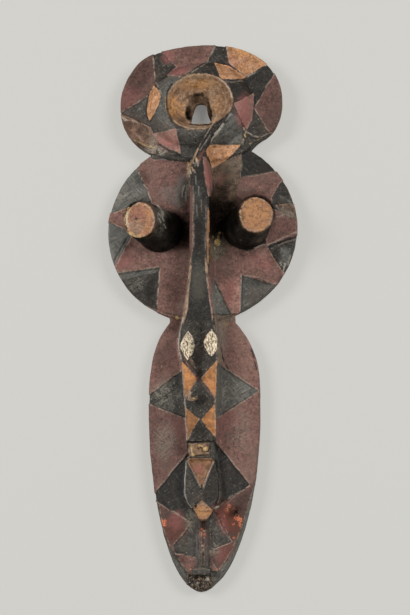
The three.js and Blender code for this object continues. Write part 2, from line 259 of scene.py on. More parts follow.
stalk_off = []
stalk_end = []
for eye_side in (-1, 1):
    foot = np.array([EYES_X + eye_side * STALK_FOOT[0], EYES_Y, STALK_FOOT[1]])
    tip = np.array([EYES_X + eye_side * STALK_TIP[0], EYES_Y, STALK_TIP[1]])
    length = np.linalg.norm(tip - foot)
    reach = (place - foot) @ (tip - foot) / length
    stalk_end.append(reach - length)
    stalk_off.append(np.linalg.norm(place - foot - reach[:, None] * (tip - foot) / length, axis=1))
left_eye = (stalk_off[0] < STALK_REACH) & (z > STALK_LOW) & (x < LEFT_GAP_X)
right_eye = (stalk_off[1] < STALK_REACH) & (z > STALK_LOW) & (x > RIGHT_GAP_X)
on_eye = left_eye | right_eye
eye_tip = (left_eye & (stalk_end[0] > -TIP_SKIN)) | (right_eye & (stalk_end[1] > -TIP_SKIN))
stalk = on_eye & ~eye_tip
in_mouth = (mouth_out < MOUTH_RIM) & on_crest & ~on_snake & (z > MOUTH_LOW)
back_side = (facing_up < BACK_FACING) | (z < BACK_HEIGHT)
on_snake &= ~back_side & ~on_eye
right_wall = on_snake & (facing_up < 0.6) & (facing_right > 0.1)
on_snake &= within(photo_at, SNAKE_BACK) > 0
left_wall = on_snake & (facing_up < 0.3) & (facing_right < -0.3)
relief = on_leaf & (y < RELIEF_Y) & (z > ABOVE_LEAF) & ~on_snake

# ---- Mask: the painted patches ----
# Flat patches of earth paint, brushed on up to scribed lines. A patch is a colour, a tone and its
# corners in the photograph's pixels, as the scene's own camera sees them. It runs on past the
# wood's edges, and a later patch covers an earlier one.
# An ochre patch over the oval board's lower edge and the tail's right wall, toned lighter as painted light
# where it lies in shade
NECK_PATCH_LIGHTENED = (
    "ochre", 1.35, [(205, 145), (241, 144.5), (232, 155), (222, 163), (213, 168), (207, 158)]
)
PATCHES = {
    "crest": [
        ("black", 1.0, [(150, 40), (153.5, 60), (156, 83), (166, 75), (176, 67), (162, 52), (160, 40)]),
        ("black", 0.95, [(215, 30), (215, 46), (207, 62), (198, 66), (190, 71), (214, 72), (221, 79),
                        (214, 62.5), (228.5, 64), (225.5, 46), (226, 30)]),
        ("black", 0.63, [(285, 45), (268, 63.5), (246, 77), (222, 80), (230, 98), (234, 104), (254, 92.5),
                        (254, 108), (276, 71), (300, 60)]),
        ("black", 1.35, [(100, 122), (122, 112), (148, 96.5), (146, 112), (150, 127), (135, 120)]),
        ("black", 2.0, [(156, 83), (168, 76), (181, 77), (168, 92), (165, 105), (169, 120), (176, 128),
                        (152, 134), (149, 124), (158, 108), (161, 95)]),
        ("black", 2.15, [(231, 112), (241.5, 121), (243, 144), (206, 145), (229, 115)]),
        ("black", 1.05, [(254, 109), (268, 131), (275, 140), (250, 150), (246.5, 131), (251.5, 121)]),
        ("black", 1.55, [(176, 128), (213, 130), (193, 160), (182, 155)]),
        ("red", 0.76, [(152, 40), (153.5, 60), (155.5, 84), (148, 96), (122, 112), (100, 122),
                       (90, 60)]),
        ("red", 1.1, [(155, 30), (162, 52), (176, 67), (166, 75), (182, 77), (200, 64.5),
                      (207, 61.5), (215, 46), (218, 30)]),
        ("ochre", 0.97, [(222, 30), (225.5, 46), (229.5, 64), (246, 76.5), (268, 63.5), (285, 45)]),
        ("ochre", 1.05, [(214, 62.5), (229, 65.5), (246, 77), (240, 79.5), (221, 79)]),
        ("red", 0.82, [(276, 71), (300, 70), (305, 150), (280, 145), (268, 131), (254, 108)]),
        ("red", 1.5, [(254, 92.5), (234, 104), (246.5, 130), (251.5, 121), (253.5, 108)]),
        ("brown", 0.7, [(100, 114), (122, 114.5), (135, 120), (150, 127), (158, 141), (155, 154),
                         (110, 150)]),
        ("ochre", 1.36, [(153.8, 85.5), (157, 88.2), (159.6, 92), (160.8, 96.5), (158.8, 104),
                         (154.6, 113.5), (149.2, 121.5), (147, 115), (146.8, 107), (148, 99.5),
                         (150, 93), (152, 88.5)]),
        ("red", 2.1, [(152, 134), (176, 128), (181.5, 154), (160, 144)]),
        NECK_PATCH_LIGHTENED,
    ],
    "face": [
        ("black", 2.5, [(95, 160), (137, 168), (151, 200), (127, 209), (100, 218)]),
        ("black", 3.0, [(90, 216), (110, 222), (127, 230), (132, 237), (115, 266), (90, 270)]),
        ("black", 0.76, [(100, 276), (118, 273), (160, 267), (157, 308), (157, 330), (100, 330)]),
        ("black", 2.1, [(110, 274), (118, 273), (159, 267.5), (157, 272), (137, 276), (118, 281.5)]),
        ("black", 0.48, [(241, 140), (290, 140), (290, 170), (241, 178)]),
        ("black", 0.92, [(280, 182), (272, 197), (272, 207), (310, 222), (310, 170)]),
        ("black", 1.1, [(266, 246), (310, 230), (310, 290), (286, 277), (277, 263)]),
        ("black", 1.7, [(241, 274), (277, 285), (300, 295), (270, 330), (240, 330)]),
        ("red", 1.15, [(138, 168), (151, 200), (150, 206), (131, 237), (115, 266), (118, 272.5),
                       (160, 267), (157, 308), (156, 330), (192, 330), (196, 145), (150, 140)]),
        ("red", 1.12, [(160, 272), (190, 272), (186, 316), (157, 312)]),
        ("black", 3.0, [(146, 153), (158, 145), (176, 153), (190, 159), (172, 160), (152, 159)]),
        ("red", 1.4, [(90, 205), (111, 213.5), (128, 207.5), (136, 207), (133, 231), (127, 230),
                      (110, 222), (90, 232)]),
        ("brown", 0.62, [(209, 150), (241, 147), (241, 178), (236, 206), (218, 222), (209, 235)]),
        NECK_PATCH_LIGHTENED,
        ("red", 0.95, [(241, 178), (274, 171.5), (295, 172), (279.5, 183), (272, 197), (272, 206),
                       (236, 208), (236, 200), (238, 186)]),
        ("red", 1.3, [(272, 208), (310, 223), (310, 231), (268, 245), (262, 235)]),
        ("red", 1.1, [(206, 232), (240, 248), (256, 247.5), (267, 243), (268, 247.5), (277, 263),
                      (288, 277), (276, 285), (241, 274.5), (240, 312), (233, 320), (206, 320)]),
        ("black", 0.5, [(228, 236), (233, 243.5), (239.5, 249), (246.5, 251.3), (253, 249.5),
                        (259.5, 245.5), (266, 240.5), (262, 233)]),
        ("red", 2.05, [(216, 284), (224, 280), (240, 278), (240, 312), (233, 320), (228.5, 309)]),
        ("black", 3.0, [(213.5, 276.5), (229, 309), (233, 316), (211, 316), (211.4, 300),
                        (212.6, 287)]),
        ("brown", 0.95, [(209, 228), (226, 232), (233, 244), (224, 255), (212, 262), (209, 261)]),
        ("brown", 0.62, [(275, 205), (290, 203), (310, 208), (310, 224), (284, 215)]),
        ("brown", 1.2, [(212, 314.3), (238, 314.3), (238, 326), (212, 326)]),
    ],
    "leaf": [
        ("red", 1.28, [(130, 300), (190, 300), (190, 365), (181, 371), (151, 394), (130, 400)]),
        ("red", 1.38, [(214, 300), (280, 300), (280, 391), (259, 391), (226, 369), (216, 362)]),
        ("brown", 1.2, [(205, 312), (233, 312), (230, 322), (225, 332), (223, 345), (222, 366), (205, 366)]),
        ("black", 1.12, [(190, 364), (181, 370.5), (151, 393.5), (130, 402), (151, 405), (185, 418.5),
                         (200, 395)]),
        ("black", 2.3, [(210, 356), (217, 362.5), (226, 369), (259, 391), (217, 418.5), (205, 395)]),
        ("red", 0.9, [(130, 405), (151, 405.5), (185, 419), (193, 451), (188, 452), (157, 490),
                      (130, 500)]),
        ("red", 1.2, [(217, 419), (259, 391.5), (290, 391), (290, 470), (250, 484.5), (214, 441)]),
        ("black", 0.5, [(188, 452), (157, 490), (152, 497), (157, 502), (190, 522), (204, 500)]),
        ("black", 0.56, [(208, 436), (214.5, 441), (250, 485), (214, 511), (200, 500)]),
        ("red", 0.62, [(140, 502), (157, 502.5), (190, 522), (190, 526), (174, 545), (160, 548)]),
        ("red", 0.47, [(215, 512), (250, 487), (262, 484), (262, 500), (236, 542), (231, 542), (221, 529)]),
        ("black", 1.3, [(190, 512), (189.5, 526), (173, 545), (176, 553.5), (196, 557), (199, 566),
                        (204, 572), (211, 562), (209, 551), (232, 542), (217, 513), (204, 505)]),
        ("red", 1.15, [(176, 553.5), (195, 557), (199, 565), (190, 574), (180, 566)]),
        ("red", 0.8, [(209, 551), (233, 541.5), (240, 541), (228, 556), (217, 571), (211, 566)]),
        ("black", 2.3, [(256, 478), (250, 500), (244, 520), (237, 540), (228.5, 556), (220, 569),
                        (214, 576), (212, 600), (280, 600), (280, 478)]),
        ("black", 1.7, [(150, 500), (158, 502), (163, 528), (169, 545), (177, 556), (182, 566),
                        (189, 574), (190, 600), (150, 600)]),
        ("black", 1.5, [(184, 570), (192, 573), (216, 571), (222, 574), (212, 600), (184, 600)]),
        ("brown", 0.55, [(187.5, 572.5), (209, 573.5), (213, 578), (212, 590), (207, 600), (189, 600),
                         (185.6, 587)]),
    ],
    "snake": [
        ("black", 0.55, [(150, 100), (260, 100), (260, 320), (150, 320)]),
        ("red", 0.95, [(187, 185), (191.5, 185), (193.4, 200), (193.6, 225), (193, 250), (190, 264),
                       (180, 266), (180, 200)]),
        ("brown", 1.45, [(189, 262), (191.8, 252), (191.2, 268), (189.6, 287), (188.6, 301), (188, 309),
                         (186, 318), (183, 325), (178, 319), (182, 290), (182, 262)]),
        ("brown", 1.2, [(204.6, 258), (207.4, 258), (208.6, 274), (209.6, 288), (207.4, 292),
                        (205.2, 272)]),
        ("red", 1.5, [(203, 156.5), (206.5, 157.5), (210, 165), (212.4, 176), (212.6, 188),
                       (211.2, 197), (208, 196), (206, 184), (203.8, 171)]),
        ("ochre", 0.8, [(207.6, 207), (209.2, 212), (210.5, 240), (209.6, 258), (208, 266), (207, 255),
                        (206.4, 230)]),
        ("red", 1.2, [(206.8, 276), (216, 276), (218, 318), (212, 318), (209, 300)]),
        ("white", 1.0, [(188, 331), (192.3, 337), (194.8, 345.5), (192.8, 353), (187.5, 360), (184, 356),
                        (180.8, 349), (180.4, 344), (183.5, 337)]),
        ("white", 1.14, [(211.5, 329), (216, 335), (217.9, 343), (216.5, 350), (212.5, 356.5), (208.5, 354),
                        (205, 348), (203.7, 342.5), (206.5, 335.5)]),
        ("orange", 1.0, [(181.5, 360.5), (197.3, 379), (189, 391), (186, 399), (183.4, 385)]),
        ("orange", 1.0, [(217, 360), (201.2, 378), (214.8, 398), (216.6, 385)]),
        ("orange", 0.58, [(184.8, 407), (199.5, 419.5), (192, 431), (188, 440.5), (186.4, 425)]),
        ("orange", 0.92, [(214.8, 404), (201.6, 419.5), (208, 429), (215.3, 437), (216.2, 420)]),
        ("red", 0.55, [(179.5, 349), (181, 349), (186.5, 360), (199, 376.6), (203, 382.5), (212, 395),
                       (210.5, 396), (201.5, 384), (197.5, 379), (185, 361)]),
        ("brown", 0.9, [(188.5, 359), (191, 357.5), (194.8, 364), (195.6, 369), (192, 366), (190.5, 362.5)]),
        ("brown", 1.25, [(187.2, 391), (190, 390), (191.6, 393), (190.6, 396), (193, 397.5), (197.2, 395.5),
                         (198, 399.5), (193, 401), (187.5, 400.5), (188, 396)]),
        ("brown", 1.3, [(188.6, 443.4), (209.4, 443), (210, 456.5), (188.2, 457)]),
    ],
    "relief": [
        ("black", 1.1, [(180, 455), (203, 455), (203, 515), (180, 515)]),
        ("black", 0.66, [(203, 455), (230, 455), (230, 515), (203, 515)]),
        ("black", 1.3, [(185, 566), (218, 566), (218, 579), (185, 579)]),
        ("ochre", 0.52, [(187, 461), (190, 457.5), (210.5, 457.2), (214.3, 461), (207.5, 476),
                         (201.7, 489), (194, 474)]),
        ("black", 1.7, [(196, 518), (211, 518), (210, 566), (197, 566)]),
        ("brown", 0.3, [(200.5, 518), (205.8, 518), (205, 566), (201.5, 566)]),
        ("ochre", 0.72, [(201.5, 500.4), (213.6, 510.5), (209.5, 516.5), (203.5, 521), (198, 518),
                         (193.2, 508.7)]),
    ],
}
GROUND = {"crest": "black", "face": "black", "leaf": "red", "snake": "black", "relief": "black"}
PAINTS = ["red", "ochre", "orange", "white", "brown"]
DEEP = 30.0
BORDER_FADE, SAME_PAINT_FADE, SAME_PAINT_DEPTH = 0.6, 5, 2
LEFT_TIP_TONE, RIGHT_TIP_TONE = 0.78, 0.67

# How far each point lies inside every paint, in millimetres, and how light its paint is. Signed
# distances keep a border sharp between the mesh's points. Where a patch lies on the same paint,
# only its tone changes, over a wider border.
paint_in = {paint: np.full(count, -DEEP) for paint in PAINTS}
tone = np.ones(count)
for part, where in (
    ("crest", on_crest), ("face", on_face), ("leaf", on_leaf), ("relief", relief), ("snake", on_snake)
):
    chosen = np.nonzero(where)[0]
    points = wavy[chosen]
    inside = {paint: np.full(len(chosen), -DEEP) for paint in PAINTS}
    part_tone = np.ones(len(chosen))
    if GROUND[part] in inside:
        inside[GROUND[part]][:] = DEEP
    for paint, patch_tone, corners in PATCHES[part]:
        depth = within(points, corners) * MM_PER_PX
        fade = BORDER_FADE
        if paint in inside:
            fade = np.where(inside[paint] > SAME_PAINT_DEPTH, SAME_PAINT_FADE, BORDER_FADE)
        for other in PAINTS:
            if other == paint:
                inside[other] = np.maximum(inside[other], depth)
            else:
                inside[other] = np.minimum(inside[other], -depth)
        part_tone += (patch_tone - part_tone) * smooth(-fade, fade, depth)
    for paint in PAINTS:
        paint_in[paint][chosen] = inside[paint]
    tone[chosen] = part_tone
for paint in PAINTS:
    paint_in[paint][on_eye] = -DEEP
tone[on_eye] = np.where(x < 0, LEFT_TIP_TONE, RIGHT_TIP_TONE)[on_eye]
paint_in["ochre"][on_eye] = np.where(eye_tip, DEEP, -DEEP)[on_eye]

# ---- Mask: thin marks and spots ----
# Scratches, scribed lines, rubbed edges, chips, dabs of paint, painted highlights and painted
# shadow lines on the front. A mark is its kind, half its width in pixels, its strength and its
# course. A spot's radius and place are in pixels.
MARKS = [
    # The oval board, the tail and the mouth's rim
    ("pale", 0.5, 0.6, [(153.5, 58), (154.5, 74), (156.5, 84), (161, 94)]),
    ("pale", 0.3, 0.35, [(122, 112), (135, 104), (147.5, 96.5)]),
    ("pale", 0.4, 0.45, [(275, 73), (263, 91), (254.5, 107.5), (260, 119), (267, 130)]),
    ("pale", 0.4, 0.4, [(162, 52), (169, 60), (176, 67.5)]),
    ("pale", 0.5, 0.5, [(168, 75.5), (182, 77), (190, 73), (207, 62), (215, 47)]),
    ("pale", 0.5, 0.6, [(226.5, 47), (229, 62), (238, 70), (246.5, 77), (258, 70), (268, 63.5)]),
    ("pale", 0.5, 0.4, [(221, 80), (232, 81.5), (245, 80)]),
    # Chipped paint and a painted highlight: the bright marks down the tail's right side
    ("chip_and_highlight", 0.4, 0.5, [(231, 114), (226, 121)]),
    ("chip_and_highlight", 0.9, 0.8, [(223.5, 124), (220, 129), (215.5, 134)]),
    ("chip_and_highlight", 0.5, 0.7, [(218, 133), (213, 138.5), (211.5, 141.5)]),
    ("dark", 0.9, 0.8, [(222, 119), (211, 133), (205, 143), (201, 152)]),
    ("tan", 0.7, 0.95, [(216.5, 117), (210.5, 128)]),
    ("pale", 0.4, 0.6, [(210.5, 128), (202.3, 140.5), (197.5, 149.5)]),
    ("tan", 0.7, 0.95, [(198, 148.5), (194, 157)]),
    ("chip_and_highlight", 0.3, 0.45, [(210, 135), (206, 141.5), (200, 150)]),
    ("dark", 0.5, 0.95, [(214, 123.5), (204.6, 140.3), (199.2, 149.5), (196, 157)]),
    ("dark", 0.6, 0.9, [(254, 91), (255, 101)]),
    ("dark", 0.4, 0.8, [(229, 64.5), (238, 70), (246, 77)]),
    ("dark", 0.5, 0.8, [(221, 79.5), (232, 80.5), (245, 78)]),
    # Painted shadow: the dark line under the oval board's lower edge
    ("dark", 0.7, 0.9, [(160, 145), (168, 150), (180, 155.5), (192, 158.5)]),
    ("dark", 0.7, 0.7, [(136, 141), (144, 148), (154, 152)]),
    ("dark", 0.6, 0.8, [(181, 77), (187, 74.2), (194, 72.8), (201, 73.4)]),
    ("gold", 0.4, 0.8, [(184, 76), (189, 74.2), (196, 73.4)]),
    # Painted shade: the dark line just under the mouth's hole
    ("dark", 0.7, 0.95, [(189.5, 123.8), (200, 125), (211.5, 123.2)]),
    ("tan", 0.4, 0.5, [(186, 128.5), (200, 130), (212, 126.5)]),
    # Painted highlight: the pale arc on the rim's upper right
    ("pale", 0.45, 0.95, [(219.5, 78.8), (225, 83.5), (229.5, 90), (231.6, 96.5)]),
    ("dark", 1.0, 0.95, [(172, 83.5), (168, 91), (166.6, 98), (166.6, 106), (168.3, 113), (172, 120)]),
    ("gold", 0.4, 0.95, [(166, 97), (165.6, 100)]),
    ("gold", 0.5, 1.0, [(166.2, 103), (166.6, 107)]),
    ("gold", 0.4, 0.9, [(167.2, 110), (168.4, 113)]),
    ("dark", 0.5, 0.6, [(172, 80), (180, 75.5), (190, 72.5)]),
    ("pale", 0.4, 0.7, [(247, 132), (254, 136), (262, 137), (272, 132.5)]),
    ("dark", 0.4, 0.8, [(248, 134), (256, 138.5), (264, 138)]),
    ("tan", 0.5, 0.95, [(243.6, 127.5), (244.2, 129.5)]),
    ("tan", 0.5, 0.95, [(245.6, 131), (245.2, 133)]),
    ("gold", 0.5, 0.95, [(244.4, 134.5), (245.4, 136.5)]),
    ("tan", 0.4, 0.95, [(243.6, 139), (242.6, 141.5)]),
    ("gold", 0.5, 0.6, [(250, 143), (256, 141), (262, 139)]),
    ("pale", 0.9, 0.8, [(121, 116), (126, 120)]),
    ("pale", 0.4, 0.6, [(126, 120), (134, 121), (142, 124)]),
    ("gold", 0.4, 0.6, [(134, 140), (144, 145), (154, 147)]),
    # The round board
    ("pale", 0.5, 0.6, [(137, 168), (144, 184), (151, 200)]),
    ("pale", 0.4, 0.4, [(111, 213.5), (127, 208)]),
    ("pale", 0.4, 0.4, [(110, 222), (127, 230), (132, 237), (116, 266)]),
    ("pale", 0.4, 0.4, [(118, 273), (138, 270), (159, 267)]),
    ("pale", 0.4, 0.75, [(160, 268), (158.5, 285), (157, 304)]),
    ("dark", 0.5, 0.7, [(118, 274.5), (138, 271.3), (158, 268.5)]),
    ("dark", 0.4, 0.7, [(154, 276), (153.2, 290), (152.5, 303)]),
    ("pale", 0.4, 0.6, [(241, 274.5), (240.6, 290), (240, 312)]),
    ("dark", 0.4, 0.6, [(242.5, 275), (242, 290), (241.6, 308)]),
    ("pale", 0.3, 0.4, [(241.5, 150), (241.5, 176)]),
    ("pale", 0.4, 0.4, [(241, 177), (258, 174), (275, 171)]),
    ("dark", 0.5, 0.6, [(242, 176), (258, 173), (275, 170)]),
    ("pale", 0.5, 0.8, [(268, 245), (280, 239), (297, 232)]),
    ("pale", 0.4, 0.6, [(254, 248.5), (261, 245.5), (268, 243)]),
    ("tan", 0.5, 0.7, [(126, 292), (134, 300), (145, 306.5), (156, 311), (167, 315)]),
    ("pale", 0.3, 0.6, [(271, 248.5), (284, 242.5), (297, 239)]),
    ("dark", 0.7, 0.9, [(268, 247), (283, 240.8), (297, 235)]),
    # Painted highlights: the bright grey strokes on the black at the round board's lower right
    ("slate", 0.8, 0.9, [(291, 252), (288, 260), (285, 268)]),
    ("slate", 0.8, 0.8, [(281, 248), (285, 255)]),
    ("pale", 0.4, 0.6, [(280, 262), (284, 270), (283, 276)]),
    ("pale", 0.4, 0.7, [(283, 208), (291, 212), (296, 219)]),
    ("pale", 0.4, 0.6, [(277, 217), (285, 214), (293, 217)]),
    ("pale", 0.3, 0.4, [(241, 275), (258, 277), (277, 284)]),
    ("pale", 0.3, 0.45, [(213, 280), (221, 295), (229, 309)]),
    # Painted shadow: the dark line along the round board's lower right edge
    ("dark", 0.5, 0.9, [(212, 314.5), (222, 314.8), (235, 314)]),
    # The snake's neck
    ("tan", 0.7, 1.0, [(194, 157), (191.5, 163)]),
    ("gold", 0.6, 0.8, [(195.6, 157), (197, 161)]),
    ("pale", 0.5, 0.75, [(193, 161.5), (195, 165.5)]),
    ("gold", 0.5, 0.85, [(189, 165.8), (191.3, 163.8)]),
    ("gold", 0.7, 0.7, [(189.3, 169), (190.6, 173.5)]),
    ("chip_and_highlight", 0.4, 0.5, [(189.4, 169.6), (190.4, 173)]),
    ("gold", 0.6, 0.85, [(187.4, 173.5), (188.8, 177)]),
    ("pale", 0.35, 0.6, [(194.2, 169.5), (195.8, 173.5)]),
    ("tan", 0.7, 1.0, [(191.2, 167.5), (193, 170.5)]),
    ("tan", 0.9, 0.95, [(191.4, 160.5), (189.4, 167), (188.2, 174)]),
    ("gold", 0.8, 0.9, [(188.8, 163), (187.4, 169)]),
    ("chip_and_highlight", 0.4, 0.6, [(188.6, 172), (189.4, 177)]),
    ("pale", 0.6, 0.8, [(186.8, 175), (187.6, 179)]),
    ("pale", 0.5, 0.7, [(196, 158.5), (196.8, 165)]),
    ("gold", 0.5, 0.8, [(187.4, 162.3), (188.8, 163.2)]),
    ("pale", 0.4, 0.8, [(189.8, 178), (191.2, 180.5)]),
    ("chip_and_highlight", 0.3, 0.5, [(198.6, 160), (198, 165.5)]),
    ("chip_and_highlight", 0.35, 0.35, [(181.8, 197), (182.4, 191), (184.2, 185)]),
    ("chip_and_highlight", 0.3, 0.25, [(185.4, 201), (185.8, 193), (187.4, 185)]),
    ("chip_and_highlight", 0.3, 0.22, [(188, 196), (188.4, 188), (189.8, 181)]),
    ("chip_and_highlight", 0.3, 0.25, [(195.5, 176), (196, 184)]),
    ("chip_and_highlight", 0.3, 0.22, [(198.5, 186), (199, 196)]),
    ("chip_and_highlight", 0.3, 0.18, [(201.5, 200), (202, 212)]),
    ("chip_and_highlight", 0.3, 0.18, [(196.5, 205), (197, 216)]),
    ("pale", 0.3, 0.45, [(192.8, 186), (193.8, 200), (194, 225), (193.5, 250)]),
    ("pale", 0.3, 0.4, [(206, 206), (206, 225), (205.6, 240), (205.6, 258)]),
    ("dark", 0.5, 0.8, [(202, 158), (202.3, 171), (204.4, 185), (207.5, 197), (210.5, 206)]),
    ("dark", 0.5, 0.8, [(209.7, 205), (209.7, 225), (209.5, 262)]),
    # The snake's body and its painted lozenges
    ("pale", 0.4, 0.6, [(190.5, 258), (189, 275), (186.5, 292), (184, 308), (182, 322)]),
    ("tan", 0.8, 0.85, [(190.4, 266), (189, 281), (187.4, 297), (186, 312)]),
    ("tan", 0.7, 0.95, [(205.6, 263), (206.6, 271)]),
    ("dark", 0.3, 0.7, [(204.6, 262), (206, 276), (207.6, 290)]),
    ("pale", 0.35, 0.6, [(207, 278), (209, 292), (211, 306), (212.5, 320)]),
    # Wear and a painted highlight: the pale lines along the snake's left arris
    ("chip_and_highlight", 0.35, 0.6, [(183, 318), (179.5, 332), (178.3, 344), (180.8, 358)]),
    ("pale", 0.5, 0.7, [(181, 358), (182.5, 372), (183.3, 385), (184.5, 400), (185.5, 418),
                        (187, 440)]),
    ("pale", 0.4, 0.5, [(213, 320), (216, 332), (217.6, 344), (217, 360), (216.4, 385), (215.3, 405),
                        (215.6, 438)]),
    ("pale", 0.3, 0.4, [(181.5, 361), (190, 370), (198, 379), (191, 389), (186, 399)]),
    ("pale", 0.3, 0.4, [(216.5, 361), (208, 370), (201, 378.5), (208, 388), (214.5, 398)]),
    ("pale", 0.4, 0.5, [(199, 419.5), (192, 431), (188, 440)]),
    # The collar
    ("dark", 0.8, 1.0, [(187, 442), (200, 442), (214, 441.5)]),
    ("dark", 0.5, 0.95, [(190, 456.5), (200, 455.8), (209, 455.3)]),
    ("gold", 0.9, 0.8, [(192, 445.4), (193.4, 448)]),
    ("chip_and_highlight", 0.5, 0.85, [(191.6, 448.6), (192, 451.6)]),
    ("gold", 1.1, 0.95, [(192.2, 453.2), (193, 455)]),
    ("chip_and_highlight", 0.4, 0.7, [(191.8, 453), (192.2, 455)]),
    ("gold", 0.5, 0.95, [(199, 445), (200.5, 446.2), (203, 446)]),
    ("dark", 0.9, 0.8, [(195.5, 447.5), (199, 449)]),
    ("dark", 0.6, 0.95, [(200.5, 447.6), (201.6, 448.4)]),
    ("pale", 1.1, 0.55, [(196.5, 452.6), (201.5, 453.2)]),
    ("dark", 0.5, 0.95, [(208.5, 447), (208.6, 450.4)]),
    ("dark", 0.4, 0.9, [(203, 451.7), (207.5, 451.6)]),
    ("pale", 0.6, 0.8, [(205.5, 453), (208, 452.8)]),
    # The jaw plate
    # Painted highlights: the pale lines on the relief's left edge and its lower right corner
    ("chip_and_highlight", 0.35, 0.6, [(185.7, 461), (184.5, 478), (184.3, 495), (186.7, 502.5), (190.7, 508)]),
    ("pale", 0.3, 0.4, [(218, 472), (220.5, 485), (220.5, 496), (218.5, 503)]),
    ("chip_and_highlight", 0.4, 0.6, [(214.5, 508.5), (218.5, 506.5)]),
    ("pale", 0.4, 0.5, [(188, 462), (194, 474), (200.5, 487)]),
    ("pale", 0.5, 0.7, [(213.5, 462), (208, 474), (203.5, 487)]),
    ("dark", 0.5, 0.7, [(186.6, 462), (192.5, 475), (200, 489)]),
    ("dark", 0.6, 1.0, [(201.5, 485), (201.5, 492)]),
    # The leaf board
    ("pale", 0.4, 0.45, [(151, 393.5), (166, 382), (181, 370.5)]),
    ("pale", 0.4, 0.4, [(151, 405), (168, 412), (184, 418.5)]),
    ("pale", 0.4, 0.4, [(226, 369), (243, 380), (258.5, 390.5)]),
    ("pale", 0.4, 0.5, [(258.5, 391.5), (238, 405), (217, 418.5)]),
    ("pale", 0.35, 0.35, [(188, 452), (172, 471), (157, 490)]),
    ("dark", 0.7, 0.7, [(188, 455), (173, 473), (159, 490.5)]),
    ("pale", 0.45, 0.5, [(157, 502), (173, 511), (190, 522)]),
    ("pale", 0.4, 0.35, [(190, 524), (182, 534), (173, 545)]),
    ("pale", 0.4, 0.4, [(215, 441), (232, 461), (250, 484)]),
    ("dark", 0.6, 0.6, [(214, 443), (231, 464), (247, 484)]),
    ("pale", 0.5, 0.5, [(250, 486), (232, 496), (215, 509.5)]),
    ("pale", 0.4, 0.4, [(217, 514), (222, 529), (232, 541.5)]),
    ("pale", 0.4, 0.45, [(232, 542.5), (221, 546), (210, 551), (211, 562), (217, 570)]),
    ("pale", 0.4, 0.5, [(176, 554), (187, 554.5), (196, 558)]),
    # Painted highlight along the top of the crossbar
    ("pale", 0.4, 0.5, [(193, 569), (203, 568), (210, 569.5)]),
    ("dark", 0.6, 0.8, [(192, 575), (203, 577), (212, 576)]),
    ("dark", 0.5, 0.6, [(198, 529), (197.6, 545), (198.6, 565)]),
    ("dark", 0.4, 0.4, [(207, 529), (206.5, 545), (206.5, 565)]),
    ("dark", 0.5, 0.9, [(221, 343), (222, 352), (224, 362), (228, 369)]),
    ("dark", 0.8, 0.95, [(251.5, 350), (253.8, 357)]),
    ("dark", 0.6, 0.95, [(254.5, 361), (256.5, 369)]),
    # The stalks' ends and feet
    ("gold", 0.9, 0.8, [(128.5, 208), (124.8, 219), (127, 230), (132, 235.5), (140, 238)]),
    ("dark", 0.6, 0.9, [(134, 218.6), (139, 218.8)]),
    ("chip_and_highlight", 0.45, 0.6, [(127.6, 212), (126.8, 219), (128.4, 226)]),
    ("gold", 0.6, 0.7, [(130, 231), (136, 235), (143, 236)]),
    # Painted highlights: the grey strokes on the left stalk's upper side
    ("chip_and_highlight", 0.4, 0.5, [(157.5, 205), (159.5, 208)]),
    ("chip_and_highlight", 0.4, 0.4, [(160.5, 208.5), (162.5, 212), (161.5, 215)]),
    ("chip_and_highlight", 0.4, 0.4, [(158.5, 213.5), (160.5, 216)]),
    ("chip_and_highlight", 0.3, 0.5, [(163.5, 213), (162.5, 218), (164, 221)]),
    ("chip_and_highlight", 0.3, 0.4, [(159, 219), (161, 223)]),
    ("chip_and_highlight", 0.3, 0.3, [(163.5, 224), (166, 228)]),
    ("tan", 0.3, 0.35, [(241, 240), (252, 243), (262, 240)]),
    ("dark", 0.7, 0.8, [(160, 311.5), (168, 314), (180, 316.5)]),
    ("gold", 0.4, 0.7, [(233, 145.5), (240, 145)]),
    # Grey wear on the black patches
    ("slate", 0.7, 0.7, [(279, 196), (287, 199), (293, 205)]),
    ("slate", 0.4, 0.6, [(272, 268), (281, 262), (286, 250)]),
    ("slate", 0.4, 0.5, [(100, 176), (118, 190), (130, 203)]),
    ("slate", 0.5, 0.5, [(112, 166), (128, 182), (140, 200)]),
    ("slate", 0.4, 0.5, [(104, 250), (114, 240), (124, 228)]),
    ("slate", 0.4, 0.6, [(108, 262), (120, 246), (128, 238)]),
    ("dark", 0.9, 0.75, [(127.5, 237), (119.5, 250), (113, 262)]),
    # More painted highlights on the same black patch
    ("slate", 0.7, 0.8, [(283.5, 249), (286.5, 252.5), (287.5, 258)]),
    ("chip_and_highlight", 0.5, 0.5, [(285, 263), (284, 270)]),
    ("chip_and_highlight", 0.4, 0.5, [(291, 256), (288.6, 265)]),
    # Small touches on the oval board and below the jaw
    ("dark", 0.8, 0.6, [(139, 122), (146, 128), (150, 136)]),
    ("tan", 0.4, 0.6, [(128, 128), (136, 134), (143, 141)]),
    ("dark", 0.35, 0.6, [(195.5, 512), (203, 511.3), (211, 512.5)]),
    ("tan", 0.5, 0.6, [(198, 505.5), (202, 502), (206, 506)]),
    ("dark", 0.6, 0.8, [(203, 532), (202.4, 541), (203.4, 549), (203, 558)]),
    ("dark", 0.5, 0.6, [(199.5, 538), (199.8, 552), (200.6, 563)]),
]
